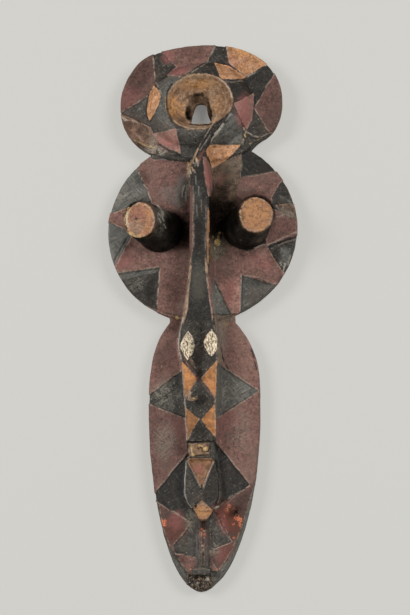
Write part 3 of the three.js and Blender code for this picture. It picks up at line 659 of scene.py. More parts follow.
SPOTS = [
    ("dark", 0.9, 1.0, 136, 218.3), ("dark", 0.8, 0.9, 178, 166), ("gold", 3.0, 1.0, 218, 242),
    ("gold", 1.0, 0.7, 219.5, 233), ("gold", 1.0, 0.6, 214.5, 248), ("gold", 1.9, 0.8, 177, 317),
    ("gold", 0.8, 0.6, 213, 237), ("gold", 0.9, 0.7, 218.5, 237), ("dark", 1.2, 1.0, 236, 512),
    ("ember", 2.4, 1.0, 239.5, 520), ("ember", 1.6, 0.9, 235.5, 518), ("ember", 1.6, 0.8, 240, 525),
    ("ember", 1.2, 0.6, 230, 505), ("ember", 1.0, 0.5, 226, 510), ("ember", 1.2, 0.6, 234, 524),
    ("ember", 2.2, 1.0, 164, 522), ("ember", 1.8, 1.0, 164.4, 525), ("ember", 0.9, 0.7, 217, 569),
    ("ember", 1.0, 0.6, 234, 538), ("ember", 0.8, 0.6, 224, 516), ("ember", 0.8, 0.5, 191, 566),
    ("chip_and_highlight", 0.5, 0.6, 204.2, 531), ("ember", 1.0, 0.8, 205, 534), ("ember", 0.8, 0.8, 200.5, 529),
    ("ember", 0.8, 0.7, 202, 544.5), ("chip_and_highlight", 0.6, 0.6, 202.5, 546), ("gold", 0.6, 0.6, 204, 538),
    ("ember", 0.8, 0.8, 199.6, 534), ("gold", 0.5, 0.7, 201.5, 552), ("ember", 0.7, 0.7, 202.6, 529),
    ("ember", 0.6, 0.8, 199, 531.5), ("ember", 0.7, 0.8, 201.4, 532.6), ("gold", 0.5, 0.7, 203.4, 530.6),
    ("ember", 0.7, 0.8, 203, 534.8), ("ember", 0.6, 0.7, 204.4, 536.4), ("chip_and_highlight", 0.35, 0.6, 201.2, 535),
    # The two large pale spots near (208, 579), here and below, are a painted highlight on the torn end
    ("ember", 0.5, 0.7, 206, 529.8), ("chip_and_highlight", 1.7, 0.35, 207.4, 578.6), ("ember", 0.5, 0.7, 201.2, 537.5),
    ("gold", 0.5, 0.6, 204.5, 557), ("dark", 0.5, 0.8, 202, 549), ("dark", 0.5, 0.7, 204.6, 541),
    ("gold", 0.5, 0.7, 203.2, 549.5), ("tan", 0.5, 0.7, 201.6, 541.6), ("ember", 0.6, 0.6, 198, 530),
    ("gold", 0.8, 0.6, 190.5, 569), ("dark", 1.5, 0.9, 201, 584),
    ("chip_and_highlight", 1.0, 0.6, 208, 579), ("chip_and_highlight", 0.4, 0.7, 190, 577), ("chip_and_highlight", 0.4, 0.6, 192.5, 584),
    ("chip_and_highlight", 0.4, 0.7, 196, 587), ("chip_and_highlight", 0.5, 0.5, 203.5, 580.5), ("chip_and_highlight", 0.3, 0.6, 189.5, 582),
    ("dark", 1.3, 0.9, 192, 582), ("dark", 1.2, 0.8, 196, 588), ("dark", 1.1, 0.8, 190, 576),
    ("pale", 0.6, 0.8, 197, 583), ("pale", 0.6, 0.7, 193, 579), ("pale", 0.5, 0.7, 191.5, 586),
    ("gold", 0.7, 0.7, 195.5, 575), ("gold", 0.6, 0.6, 199, 579), ("pale", 0.6, 0.7, 182, 383),
    ("gold", 0.8, 0.8, 194, 398.5), ("pale", 0.8, 0.8, 183.5, 403), ("dark", 0.9, 0.6, 227, 384),
    ("pale", 0.7, 0.6, 161.5, 367), ("pale", 0.8, 0.6, 174, 383), ("pale", 0.6, 0.5, 166, 388),
    # The small pale spot on the gold boss, at (205.6, 448.6), is a painted highlight
    ("gold", 2.6, 1.0, 205.2, 449), ("chip_and_highlight", 0.8, 0.4, 205.6, 448.6), ("gold", 1.1, 0.8, 191.4, 448),
    ("gold", 1.5, 0.8, 192.6, 454), ("chip_and_highlight", 0.35, 0.7, 101, 228), ("chip_and_highlight", 0.4, 0.7, 102, 234),
    ("chip_and_highlight", 0.35, 0.6, 103.5, 242), ("chip_and_highlight", 0.4, 0.6, 105.5, 247), ("chip_and_highlight", 0.3, 0.6, 110, 186),
    ("chip_and_highlight", 0.3, 0.5, 117, 178), ("dark", 0.8, 1.0, 234.6, 513.6), ("dark", 0.6, 1.0, 237.8, 513),
]
MARK_KINDS = ("pale", "dark", "gold", "ember", "chip_and_highlight", "tan")
STAIN_KINDS = ("soot_and_shade", "dust", "slate", "olive", "wine", "rust", "glow", "ember")
UNBROKEN = 0.94
FRONT_LOW, FRONT_FACING = 14, -0.2
LINE_OUTER, LINE_INNER, SPOT_OUTER, SPOT_INNER = 0.6, 0.35, 0.5, 0.4


def add(kinds, kind, amount):
    """Lay some of one kind of mark or stain on, where there isn't as much of it yet."""
    kinds[kind] = np.maximum(kinds[kind], amount)


def from_place(at_x, at_y):
    """How far each point is from a place in the photograph, in its pixels."""
    return np.hypot(photo_x - at_x, photo_y - at_y)


marks = {kind: np.zeros(count) for kind in MARK_KINDS}
soft = {kind: np.zeros(count) for kind in STAIN_KINDS}
seen = (facing_up > FRONT_FACING) & (z > FRONT_LOW)
broken = smooth(-0.55, 0.25, noise(place, 6, 13) + 0.5 * noise(place, 2.5, 14))
for kind, half, strength, course in MARKS:
    off = from_line(wavy, course)
    line = strength * smooth(half + LINE_OUTER, half - LINE_INNER, off) * seen
    line *= np.maximum(broken, 1 if kind == "chip_and_highlight" or strength > UNBROKEN else 0)
    add(soft if kind == "slate" else marks, kind, line)
uneven = noise(place, 2.2, 15)
for kind, radius, strength, at_x, at_y in SPOTS:
    off = from_place(at_x, at_y) + 0.5 * radius * uneven
    add(marks, kind, strength * smooth(radius + SPOT_OUTER, radius - SPOT_INNER, off) * seen)
for kind in ("pale", "dark", "gold", "ember"):
    marks[kind][stalk] = 0

# ---- Mask: soft stains ----
# Soot and painted shade, dust, slate-grey wear, olive, wine-red and rusty tints, yellow glow and
# ember-red flakes. A stain is its kind, strength, middle, half width and height in pixels, and
# turn in degrees.
STAINS = {
    "board": [
        ("soot_and_shade", 0.30, 141, 76, 9, 20, 25), ("wine", 0.35, 128, 97, 13, 9, -20),
        ("dust", 0.25, 119, 84, 5, 12, 25), ("wine", 0.6, 168, 57, 6, 7, 40),
        ("wine", 0.6, 179, 71, 10, 4, -15), ("soot_and_shade", 0.25, 193, 50, 14, 8, 0),
        ("wine", 0.5, 165, 144, 10, 8, 20), ("wine", 0.7, 243, 110, 8, 16, 0),
        ("soot_and_shade", 0.20, 270, 110, 10, 26, -10), ("dust", 0.55, 153, 141, 5, 9, 0),
        ("glow", 0.5, 243, 50, 12, 6, 20), ("wine", 0.25, 232, 62, 6, 8, 0),
        ("soot_and_shade", 0.45, 140, 146, 11, 4, 25), ("soot_and_shade", 0.35, 128, 127, 5, 7, 0),
        ("dust", 1.0, 155, 150, 15, 6, 0), ("olive", 0.2, 160, 151, 14, 4, 10),
        ("soot_and_shade", 0.40, 141, 178, 8, 9, 0), ("dust", 0.5, 126, 198, 20, 6, 10),
        ("slate", 0.4, 171, 194, 14, 9, 10), ("slate", 0.7, 213, 450, 3, 9, -20),
        # Painted shade: the near-black stains here and on the next two lines, in the pocket between the left
        # stalk and the snake
        ("soot_and_shade", 0.7, 185.5, 198, 7, 20, 8),
        ("slate", 0.75, 181, 193, 9, 16, 12), ("soot_and_shade", 0.55, 170, 214, 22, 6, 22),
        ("soot_and_shade", 1.0, 178, 227, 22, 19, 0), ("soot_and_shade", 0.8, 174, 243, 24, 7, -4),
        ("soot_and_shade", 0.4, 128, 243, 6, 10, 30), ("wine", 0.45, 124, 262, 10, 7, -20),
        ("soot_and_shade", 0.30, 173, 290, 9, 18, 0), ("dust", 0.4, 181, 306, 4, 9, 15),
        ("soot_and_shade", 0.35, 150, 292, 5, 14, 0), ("dust", 0.35, 135, 284, 10, 8, 0),
        ("olive", 0.5, 225, 172, 13, 12, 0), ("dust", 0.3, 235, 163, 6, 10, 0),
        # Painted shade: the near-black stains here and on the next line, in the pocket between the snake and
        # the right stalk
        ("wine", 0.4, 220, 178, 6, 8, 0), ("soot_and_shade", 0.7, 222, 192, 12, 10, 0),
        ("soot_and_shade", 1.0, 225, 214, 18, 25, 0), ("soot_and_shade", 0.7, 238, 203, 10, 8, 0),
        ("olive", 0.85, 218, 246, 10, 14, 0), ("dust", 0.6, 217, 247, 9, 13, 0),
        # Painted shadow on the board just above each stalk's end
        ("soot_and_shade", 0.5, 252, 196, 16, 5, 0), ("soot_and_shade", 0.5, 140, 200, 16, 4, 0),
        ("wine", 0.5, 230, 290, 5, 16, 10), ("wine", 0.3, 262, 262, 14, 8, 20),
        # Soot and painted shadow at the right stalk's foot, at (247, 253)
        ("soot_and_shade", 0.45, 247, 253, 12, 6, 0), ("dust", 0.5, 284, 213, 12, 5, 20),
        ("soot_and_shade", 0.4, 270, 222, 5, 12, 0), ("soot_and_shade", 0.4, 275, 256, 5, 9, 0),
        # The slate stain at (286, 254) lies under the painted highlights there
        ("slate", 0.5, 286, 254, 6, 8, 0), ("dust", 0.35, 107, 243, 9, 16, 0),
        ("soot_and_shade", 0.35, 284, 279, 8, 4, 0),
        ("dust", 0.6, 216, 300, 5, 13, 0), ("soot_and_shade", 0.35, 258, 281, 14, 4, 5),
        ("olive", 0.4, 222, 320, 8, 6, 0), ("slate", 0.4, 224, 318, 12, 3.5, 0),
        ("slate", 0.5, 220, 336, 7, 26, 0),
        # Painted shade: the dark stain at (175, 324), at the top of the leaf board beside the snake
        ("soot_and_shade", 0.3, 214, 348, 4, 18, 0), ("soot_and_shade", 0.35, 175, 324, 6, 10, 20),
        ("soot_and_shade", 0.25, 160, 362, 7, 20, 5), ("dust", 0.55, 166, 394, 14, 18, 0),
        ("dust", 0.25, 232, 394, 16, 18, 0), ("wine", 0.3, 178, 428, 9, 12, 0),
        ("dust", 0.45, 166, 440, 12, 18, 15), ("olive", 0.35, 164, 446, 8, 10, 0),
        ("dust", 0.3, 238, 430, 14, 22, 0), ("wine", 0.35, 228, 420, 9, 14, 30),
        ("glow", 0.5, 203, 512, 8, 5, 0), ("dust", 0.35, 203, 503, 6, 3, 0),
        ("soot_and_shade", 0.7, 203, 526, 5, 6, 0), ("slate", 0.6, 197, 546, 2, 20, 0),
        ("wine", 0.16, 203, 540, 8, 20, 0), ("soot_and_shade", 0.25, 203, 560, 3, 8, 0),
        ("dust", 0.3, 203, 554, 4, 12, 0), ("rust", 0.35, 203, 513, 5, 3, 0),
        ("wine", 0.6, 199, 469, 6, 6, 0),
        ("wine", 0.5, 176, 520, 8, 10, 20), ("wine", 0.4, 222, 522, 5, 14, -20),
        ("ember", 0.6, 230, 507, 7, 4, -40), ("soot_and_shade", 0.6, 234, 512, 8, 5, -40),
        ("rust", 0.95, 228, 518, 12, 18, -30), ("rust", 0.5, 228, 552, 10, 12, 40),
        ("rust", 0.5, 176, 530, 12, 16, 30), ("rust", 0.4, 100, 140, 60, 30, 0),
        ("olive", 0.6, 192, 519, 8, 12, 0), ("dust", 0.5, 190, 520, 6, 12, 0),
        ("dust", 0.35, 214, 530, 4, 10, 0), ("olive", 0.3, 185, 545, 8, 8, 0),
        ("soot_and_shade", 0.4, 180, 556, 10, 6, 30), ("wine", 0.3, 222, 554, 6, 8, 0),
        ("dust", 0.6, 214, 551, 6, 7, -30),
    ],
    "snake": [
        ("soot_and_shade", 0.15, 198, 178, 5, 12, 0), ("soot_and_shade", 0.35, 199, 228, 5, 28, 0),
        ("wine", 0.85, 208, 176, 3.2, 14, -8), ("wine", 0.35, 201, 155, 2.5, 9, 20),
        ("slate", 0.14, 198, 200, 4, 22, 0), ("slate", 0.6, 212.5, 450, 2.5, 7, 0),
        ("slate", 0.24, 198, 282, 8, 20, 0), ("olive", 0.4, 199, 284, 8, 20, 0),
        ("soot_and_shade", 0.55, 199, 346, 8, 28, 0), ("soot_and_shade", 0.65, 200, 374, 5, 8, 0),
        ("dust", 0.35, 196, 340, 4, 12, 0), ("soot_and_shade", 0.35, 200, 432, 8, 8, 0),
        ("soot_and_shade", 0.5, 200, 400, 9, 8, 0), ("soot_and_shade", 0.35, 187, 345, 1.2, 9, 10),
        ("soot_and_shade", 0.35, 211, 344, 1.1, 9, -8), ("glow", 0.4, 186, 372, 3, 8, 0),
        ("glow", 0.35, 198, 450, 9, 6, 0),
    ],
    "mouth": [
        ("dust", 0.35, 188, 79, 15, 6, -10), ("dust", 0.3, 213, 86, 9, 9, 0),
        # Painted light: the glow stains at (173, 106) and (181, 110), on the funnel's lit lower left inside
        ("glow", 0.6, 200, 84, 22, 7, 0), ("glow", 0.7, 173, 106, 6, 14, 0),
        ("glow", 0.6, 181, 110, 5, 9, 0), ("glow", 0.4, 218, 104, 6, 9, 0),
        ("dust", 0.4, 200, 127, 20, 3, 0), ("soot_and_shade", 0.45, 180, 118, 9, 4, 30),
        ("soot_and_shade", 0.15, 199, 92, 14, 8, 0), ("olive", 0.5, 187, 112, 4, 8, 0),
        ("olive", 0.4, 214, 112, 3, 8, 0),
    ],
    "eye": [
        ("dust", 0.7, 160, 213, 7, 12, 20), ("dust", 0.4, 160, 230, 9, 7, 0),
        ("dust", 0.3, 262, 238, 14, 5, -20), ("wine", 0.35, 138, 214, 9, 9, 0),
        ("glow", 0.15, 148, 230, 7, 9, 20), ("glow", 0.4, 256, 214, 18, 18, 0),
        # Painted shade: the two full-strength dark stains on the stalks' inner sides, by the snake
        ("dust", 0.45, 136, 226, 9, 8, 0), ("soot_and_shade", 1.0, 177, 229, 15, 24, 0),
        ("soot_and_shade", 1.0, 232, 216, 11, 24, 0), ("glow", 0.5, 150, 212, 4, 6, 0),
        ("rust", 0.35, 134, 234, 7, 4, 20),
    ],
}
STAIN_OUTER, STAIN_INNER = 1.35, 0.4
ragged = 0.22 * noise(place, 9, 16) + 0.12 * noise(place, 4, 17)
on_board = ~on_snake & ~on_eye & ~in_mouth
for part, where in (("board", on_board), ("snake", on_snake), ("mouth", in_mouth), ("eye", on_eye)):
    for kind, strength, at_x, at_y, wide, high, turn in STAINS[part]:
        ahead, aside = math.cos(math.radians(turn)), math.sin(math.radians(turn))
        dx, dy = photo_x - at_x, photo_y - at_y
        off = np.hypot((dx * ahead + dy * aside) / wide, (dy * ahead - dx * aside) / high)
        add(soft, kind, strength * smooth(STAIN_OUTER, STAIN_INNER, off + ragged) * where * seen)
add(marks, "ember", soft.pop("ember") * (noise(place, 2.2, 18) > 0.2))

# Soot and painted shade ring the mouth's hole above and beside
HALO = [
    (185.5, 97.2), (187.8, 95.5), (193, 94.4), (195, 92.7), (203.7, 92), (205, 96), (208.8, 97.8),
    (210, 104), (211.5, 109), (212.3, 116), (212.3, 121.5), (190, 122), (187.5, 120), (185.3, 115.4),
    (185.3, 109.7), (187.2, 105), (189, 101), (186, 98.5),
]
halo_in = within(photo_at, HALO) + 0.6 * noise(place, 3, 23) + 0.5 * noise(place, 1.6, 24)
blackest = np.maximum.reduce([
    smooth(192, 189.5, photo_x) * smooth(103, 108, photo_y),
    smooth(97.5, 95.5, photo_y) * smooth(191, 195, photo_x),
    smooth(206.5, 209, photo_x),
])
halo = smooth(-0.7, 0.7, halo_in) * (0.74 + 0.23 * blackest + 0.1 * noise(place, 4, 25)) * in_mouth
add(soft, "soot_and_shade", halo)

# The stalks' sides are black paint deepened by painted shade. The snake's right wall and the board
# next to it, in the gap by the right stalk, get painted shade, and its left wall is darker below
# its back and towards the top
side_soot_and_shade = 0.6 - 0.45 * soft["dust"] + 0.25 * noise(place, 5, 33)
soft["soot_and_shade"] = np.where(stalk, np.maximum(soft["soot_and_shade"], side_soot_and_shade), soft["soot_and_shade"])
gap = smooth(208.6, 210, photo_x) * smooth(180, 205, photo_y) * smooth(250, 232, photo_y)
add(soft, "soot_and_shade", gap * (right_wall | on_face) * (photo_x < 222))
below_back = smooth(snake_top - 2.5, snake_top - 6, z)
add(soft, "soot_and_shade", 0.6 * left_wall * np.maximum(smooth(266, 248, photo_y), below_back))
for kind in ("pale", "tan", "gold", "chip_and_highlight"):
    marks[kind] *= 1 - left_wall * below_back

# The stalks' ends are ovals with a dark ring round them and a rim rubbed to gold and pale wood:
# middle, half width and half height in pixels
TIPS = ((140.2, 220.1, 15.0, 18.3), (256.0, 214.5, 17.2, 18.0))
LEFT_RIM_X, LEFT_RIM_WEAR, RIM_WEAR = 133, 0.85, 0.4
tip_off = np.minimum.reduce([
    np.hypot((photo_x - at_x) / wide, (photo_y - at_y) / high) for at_x, at_y, wide, high in TIPS
])
tip_off += 0.03 * noise(place, 4, 19)
add(marks, "dark", smooth(0.95, 1.0, tip_off) * eye_tip * (marks["gold"] < 0.3))
rim = smooth(0.82, 0.9, tip_off) * smooth(1.0, 0.95, tip_off) * eye_tip
rim = rim * np.where(photo_x < LEFT_RIM_X, LEFT_RIM_WEAR, RIM_WEAR)
for kind, seed in (("gold", 31), ("pale", 32)):
    worn = smooth(0.05, 0.4, noise(place, 3.5, seed) + 0.5 * noise(place, 1.6, seed + 2))
    add(marks, kind, rim * worn)
# The stalks' black feet with painted shadow: a dark crescent on the board just beyond the top of each
# stalk's end
shade_at_foot = smooth(1.17, 1.08, tip_off) * (on_face & ~on_eye) * smooth(226, 214, photo_y)
add(soft, "soot_and_shade", 0.92 * shade_at_foot)

# Black patches toned lighter, partly for grey wear and partly as painted sheen, become dark paint
# under pale slate-grey scratches
lit = np.maximum.reduce([paint_in[paint] for paint in PAINTS])
is_black = smooth(0.6, -0.6, lit)
extra = np.clip(tone - 1, 0, 2) * is_black
add(soft, "slate", 0.42 * extra * ~on_eye)
tone = tone - 0.62 * extra

# ---- Mask: wear and tool marks in the wood ----
# Broad cuts of the adze, black patches cut a little deeper, a torn lower end, gouges in the mouth,
# a pit in the left eye, a hole in the leaf board and a boss on the collar, all in millimetres.
BOARD_CUT, SNAKE_CUT, BURR = 0.9, 0.35, 0.25
ADZE_WAVE, KNIFE_WAVE, BRUSH_WAVE, BACK_WAVE = 0.35, 0.22, 0.25, 0.6
GOUGE, FINE_GOUGE, SCRIBED, PALE_RISE = 0.8, 0.5, 0.6, 0.25
TORN_DEPTH, SPLINTER = 1.6, 1.1
PIT_DEPTH, HOLE_DEPTH, BOSS_HEIGHT = 0.9, 1.6, 2.2
TORN_FROM, TORN_TO = -345, -348
EYE_PIT, LEAF_HOLE, COLLAR_BOSS = (136, 218.3), (236, 512), (205, 449)
FLAT_BELOW = 1.2
flat_front = ~on_eye & ~in_mouth & ~back_side
sunken = smooth(0.3, -1.1, lit)
lift = -BOARD_CUT * sunken * (flat_front & ~on_snake)
lift -= SNAKE_CUT * sunken * (flat_front & on_snake)
lift += BURR * smooth(1.6, 0.2, np.abs(lit - 0.4)) * flat_front
lift += ADZE_WAVE * noise(place, 21, 3) + KNIFE_WAVE * noise(place, 7, 4)
lift += is_black * flat_front * (BRUSH_WAVE * noise(place * (1, 0.35, 1), 3.5, 20) - 0.1)
torn_in = paint_in["brown"] + 1.6 * noise(place, 4.5, 40)
rough = smooth(TORN_FROM, TORN_TO, y) * ~back_side * smooth(-1.0, 1.8, torn_in)
splinters = SPLINTER * noise(place * (1, 0.5, 1), 3.6, 5)
lift -= rough * (TORN_DEPTH + splinters + SPLINTER * noise(place, 1.9, 6))
lift += np.where(in_mouth, GOUGE * noise(place, 7, 7) + FINE_GOUGE * noise(place, 3, 8), 0)
lift += np.where(eye_tip, 0.35 * noise(place, 3, 21) + 0.2 * noise(place, 6, 22), 0)
lift += np.where(back_side, BACK_WAVE * noise(place * (1, 0.6, 1), 13, 9), 0)
lift -= SCRIBED * marks["dark"] * ~on_eye
lift += PALE_RISE * marks["pale"] * ~on_eye
lift -= PIT_DEPTH * smooth(1.6, 0.8, from_place(*EYE_PIT)) * eye_tip
lift -= HOLE_DEPTH * smooth(2.2, 1.0, from_place(*LEAF_HOLE)) * on_leaf * seen
lift += BOSS_HEIGHT * smooth(2.9, 1.2, from_place(*COLLAR_BOSS)) * on_snake
lift = np.where(z < FLAT_BELOW, 0, lift)
place = place + normal * lift[:, None]
place[:, 2] = np.maximum(place[:, 2], 0)
made.vertices.foreach_set("co", (place / 1000).ravel())
made.update()
normal = values_of(made, "normal", 3)


def bulge(mesh, place, normal, rounds):
    """How far each point stands out from its neighbours' middle, averaged over some rounds."""
    ends = np.empty(len(mesh.edges) * 2, np.int64)
    mesh.edges.foreach_get("vertices", ends)
    a, b = ends.reshape(-1, 2).T
    size = len(mesh.vertices)
    near = np.bincount(a, minlength=size) + np.bincount(b, minlength=size)

    def middle(values):
        return (np.bincount(a, values[b], size) + np.bincount(b, values[a], size)) / near

    out = sum((place[:, i] - middle(place[:, i])) * normal[:, i] for i in range(3))
    for _ in range(rounds):
        out = 0.5 * out + 0.5 * middle(out)
    return out


# Arrises that have kept more of their paint: the snake's right wall, the relief, the torn end,
# the right side of the jaw plate, and the shaft
EDGE_SCALE, EDGE_MOST = 8, 2
jaw_right = on_leaf & (np.abs(photo_x - 221) < 9) & (np.abs(photo_y - 475) < 40)
shaft = on_leaf & (np.abs(photo_x - 203) < 13) & (photo_y > 515)
edge = bulge(made, place, normal, 1)
for where, share in (
    (right_wall & ~on_snake, 0.3), (relief, 0.6), (rough > 0.02, 0.3), (jaw_right, 0.3), (shaft, 0.4)
):
    edge[where] *= share

for name, values in (
    *paint_in.items(), *marks.items(), *soft.items(), ("tone", tone), ("bare", in_mouth * 1.0),
    ("back", back_side * 1.0), ("rough", rough),
    ("edge", np.clip(edge * EDGE_SCALE, -EDGE_MOST, EDGE_MOST)), ("tip", eye_tip * 1.0),
):
    made.attributes.new(name, "FLOAT", "POINT").data.foreach_set("value", values.astype(np.float32))

# The mesh is simplified most on the back and the sides, less on plain wood, and least where a
# border, a mark or an arris needs its points
MOST_TRIANGLES = 194000
SIDES_BELOW = 15
PLAIN_SHARE = 0.6
hidden = (normal[:, 2] < -0.05) | (place[:, 2] < SIDES_BELOW)
busy = (np.abs(lit) < 2.2) | (np.abs(edge) > 0.06)
for kind in marks:
    busy |= marks[kind] > 0.05
plain = mask.vertex_groups.new(name="plain")
for where, weight in ((~hidden & ~busy, PLAIN_SHARE), (hidden, 1.0)):
    plain.add(np.nonzero(where)[0].tolist(), weight, "REPLACE")
simplify = mask.modifiers.new("simplify", "DECIMATE")
simplify.ratio = MOST_TRIANGLES / (2 * len(made.polygons))
simplify.vertex_group = "plain"
simplify.vertex_group_factor = 0.0001
made = apply_modifiers()
mask.vertex_groups.clear()
for polygon in made.polygons:
    polygon.use_smooth = True

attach(mask, "root")
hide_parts("carved_mask")

# ---- Mask: the painted surface ----
# Matt earth paints, worn thin over dark wood, with bare wood in the mouth and at the torn end.
# Noise in millimetres breaks every border and colour up.
wood = bpy.data.materials.new("painted_wood")
wood.use_nodes = True
nodes, links = wood.node_tree.nodes, wood.node_tree.links
nodes.clear()
output = nodes.new("ShaderNodeOutputMaterial")
shader = nodes.new("ShaderNodeBsdfPrincipled")
links.new(shader.outputs["BSDF"], output.inputs["Surface"])
coordinates = nodes.new("ShaderNodeTexCoord")


def srgb(*values):
    """A colour as seen on screen, from 0 to 255, in the renderer's linear terms."""
    return tuple(
        v / 255 / 12.92 if v < 11 else ((v / 255 + 0.055) / 1.055) ** 2.4 for v in values
    ) + (1.0,)


def attribute(name):
    node = nodes.new("ShaderNodeAttribute")
    node.attribute_name = name
    return node.outputs["Fac"]


def calc(operation, a, b=0.0, c=0.0):
    node = nodes.new("ShaderNodeMath")
    node.operation = operation
    for socket, given in zip(node.inputs, (a, b, c)):
        if isinstance(given, (int, float)):
            socket.default_value = given
        else:
            links.new(given, socket)
    return node.outputs[0]


def ramp(value, low, high, to_low=0.0, to_high=1.0):
    node = nodes.new("ShaderNodeMapRange")
    node.interpolation_type = "SMOOTHSTEP"
    links.new(value, node.inputs["Value"])
    numbers = (("From Min", low), ("From Max", high), ("To Min", to_low), ("To Max", to_high))
    for name, number in numbers:
        node.inputs[name].default_value = number
    return node.outputs["Result"]


def mix(factor, a, b):
    node = nodes.new("ShaderNodeMix")
    node.data_type = "RGBA"
    for socket, given in zip((node.inputs[0], node.inputs[6], node.inputs[7]), (factor, a, b)):
        if isinstance(given, (int, float, tuple)):
            socket.default_value = given
        else:
            links.new(given, socket)
    return node.outputs[2]


def cloud(size, detail=3.0, rough=0.6, stretch=(1, 1, 1), turn=0.0):
    """Noise from 0 to 1 with features of a size in millimetres, drawn out and turned."""
    mapping = nodes.new("ShaderNodeMapping")
    mapping.vector_type = "TEXTURE"
    mapping.inputs["Scale"].default_value = [size * s / 1000 for s in stretch]
    mapping.inputs["Rotation"].default_value = (0, 0, turn)
    links.new(coordinates.outputs["Object"], mapping.inputs["Vector"])
    node = nodes.new("ShaderNodeTexNoise")
    node.inputs["Scale"].default_value = 1
    node.inputs["Detail"].default_value = detail
    node.inputs["Roughness"].default_value = rough
    links.new(mapping.outputs[0], node.inputs["Vector"])
    return node.outputs["Fac"]


def coats(pattern, low, high, dark, light, *thinner):
    """Two tones by one pattern, then thinner coats, each by its own pattern, range and strength."""
    colour = mix(ramp(pattern, low, high), srgb(*dark), srgb(*light))
    for pattern, low, high, strength, tint in thinner:
        colour = mix(ramp(pattern, low, high, 0, strength), colour, srgb(*tint))
    return colour


broad, mid, small, grain = cloud(38), cloud(9), cloud(3.6), cloud(1.7, 3, 0.6)
mottle, fine, chips = cloud(8, 5, 0.75), cloud(1.2, 2, 0.5), cloud(2.8, 2, 0.5)
strokes = cloud(2.0, 2, 0.6, (1, 6, 1), 0.7)
cross_strokes = cloud(2.0, 2, 0.6, (1, 6, 1), -1.0)
hatch = cloud(1.25, 2, 0.6, (1, 3.4, 1), 0.15)
torn_grain = cloud(1.7, 3, 0.7, (1, 2.4, 1), 0.35)
scratch = mix(ramp(mid, 0.44, 0.56), strokes, cross_strokes)
ragged_border = calc("MULTIPLY", calc("SUBTRACT", small, 0.5), 1.6)


def painted(name):
    """Where a paint lies, with a border broken up by noise."""
    return ramp(calc("ADD", attribute(name), ragged_border), -0.25, 0.35)


black = coats(
    scratch, 0.35, 0.65, (29, 26, 22), (56, 51, 44),
    (small, 0.54, 0.68, 0.6, (79, 73, 64)), (scratch, 0.62, 0.70, 0.6, (109, 106, 98)),
    (broad, 0.50, 0.66, 0.4, (62, 46, 35)), (grain, 0.58, 0.70, 0.45, (97, 93, 84)),
    (chips, 0.68, 0.72, 0.8, (138, 126, 108)),
)
red = coats(
    small, 0.34, 0.64, (80, 56, 50), (112, 81, 72),
    (mid, 0.46, 0.66, 0.35, (128, 96, 86)), (mid, 0.46, 0.34, 0.4, (82, 66, 56)),
    (broad, 0.46, 0.66, 0.45, (104, 84, 74)), (grain, 0.58, 0.70, 0.45, (154, 124, 112)),
    (grain, 0.42, 0.32, 0.4, (58, 42, 38)), (chips, 0.70, 0.73, 0.5, (172, 144, 128)),
)
ochre = coats(
    small, 0.30, 0.70, (138, 94, 62), (174, 128, 90),
    (mid, 0.5, 0.62, 0.55, (176, 138, 112)), (grain, 0.44, 0.32, 0.7, (94, 62, 40)),
    (grain, 0.56, 0.68, 0.6, (204, 166, 128)),
)
orange = coats(
    mid, 0.35, 0.65, (150, 98, 54), (176, 120, 72),
    (small, 0.55, 0.40, 0.4, (128, 88, 56)), (grain, 0.58, 0.70, 0.5, (198, 152, 106)),
)
white = coats(
    hatch, 0.42, 0.52, (84, 68, 48), (214, 198, 172), (grain, 0.50, 0.40, 0.5, (150, 130, 100))
)
brown = coats(
    mid, 0.35, 0.65, (84, 68, 54), (134, 108, 88),
    (grain, 0.56, 0.68, 0.5, (176, 148, 122)), (grain, 0.44, 0.34, 0.5, (50, 40, 32)),
)
bare_wood = coats(
    mid, 0.38, 0.62, (120, 92, 68), (157, 125, 98),
    (small, 0.54, 0.66, 0.7, (184, 154, 128)), (grain, 0.46, 0.36, 0.65, (78, 56, 38)),
)
tip_paint = coats(
    mid, 0.32, 0.68, (150, 104, 76), (170, 120, 86),
    (grain, 0.54, 0.68, 0.6, (204, 162, 128)), (grain, 0.46, 0.34, 0.7, (86, 54, 36)),
    (fine, 0.54, 0.66, 0.4, (128, 88, 52)),
)
torn_wood = coats(
    torn_grain, 0.49, 0.61, (18, 14, 11), (122, 100, 78),
    (fine, 0.60, 0.70, 0.6, (164, 152, 134)), (small, 0.46, 0.34, 0.8, (12, 9, 7)),
)
back_wood = coats(mid, 0.3, 0.7, (70, 52, 38), (112, 86, 64))

colour = black
for name, paint in (
    ("red", red), ("brown", brown), ("ochre", ochre), ("orange", orange), ("white", white)
):
    colour = mix(painted(name), colour, paint)
colour = mix(attribute("tip"), colour, tip_paint)
toned = nodes.new("ShaderNodeVectorMath")
toned.operation = "SCALE"
links.new(colour, toned.inputs[0])
not_red = calc("SUBTRACT", 1.0, painted("red"))
unevenness = calc("MULTIPLY_ADD", not_red, 0.45, 0.3)
mottled = calc("MULTIPLY_ADD", ramp(mottle, 0.28, 0.72, -0.5, 0.5), unevenness, 1.0)
links.new(calc("MULTIPLY", attribute("tone"), mottled), toned.inputs["Scale"])
colour = mix(attribute("bare"), toned.outputs[0], bare_wood)

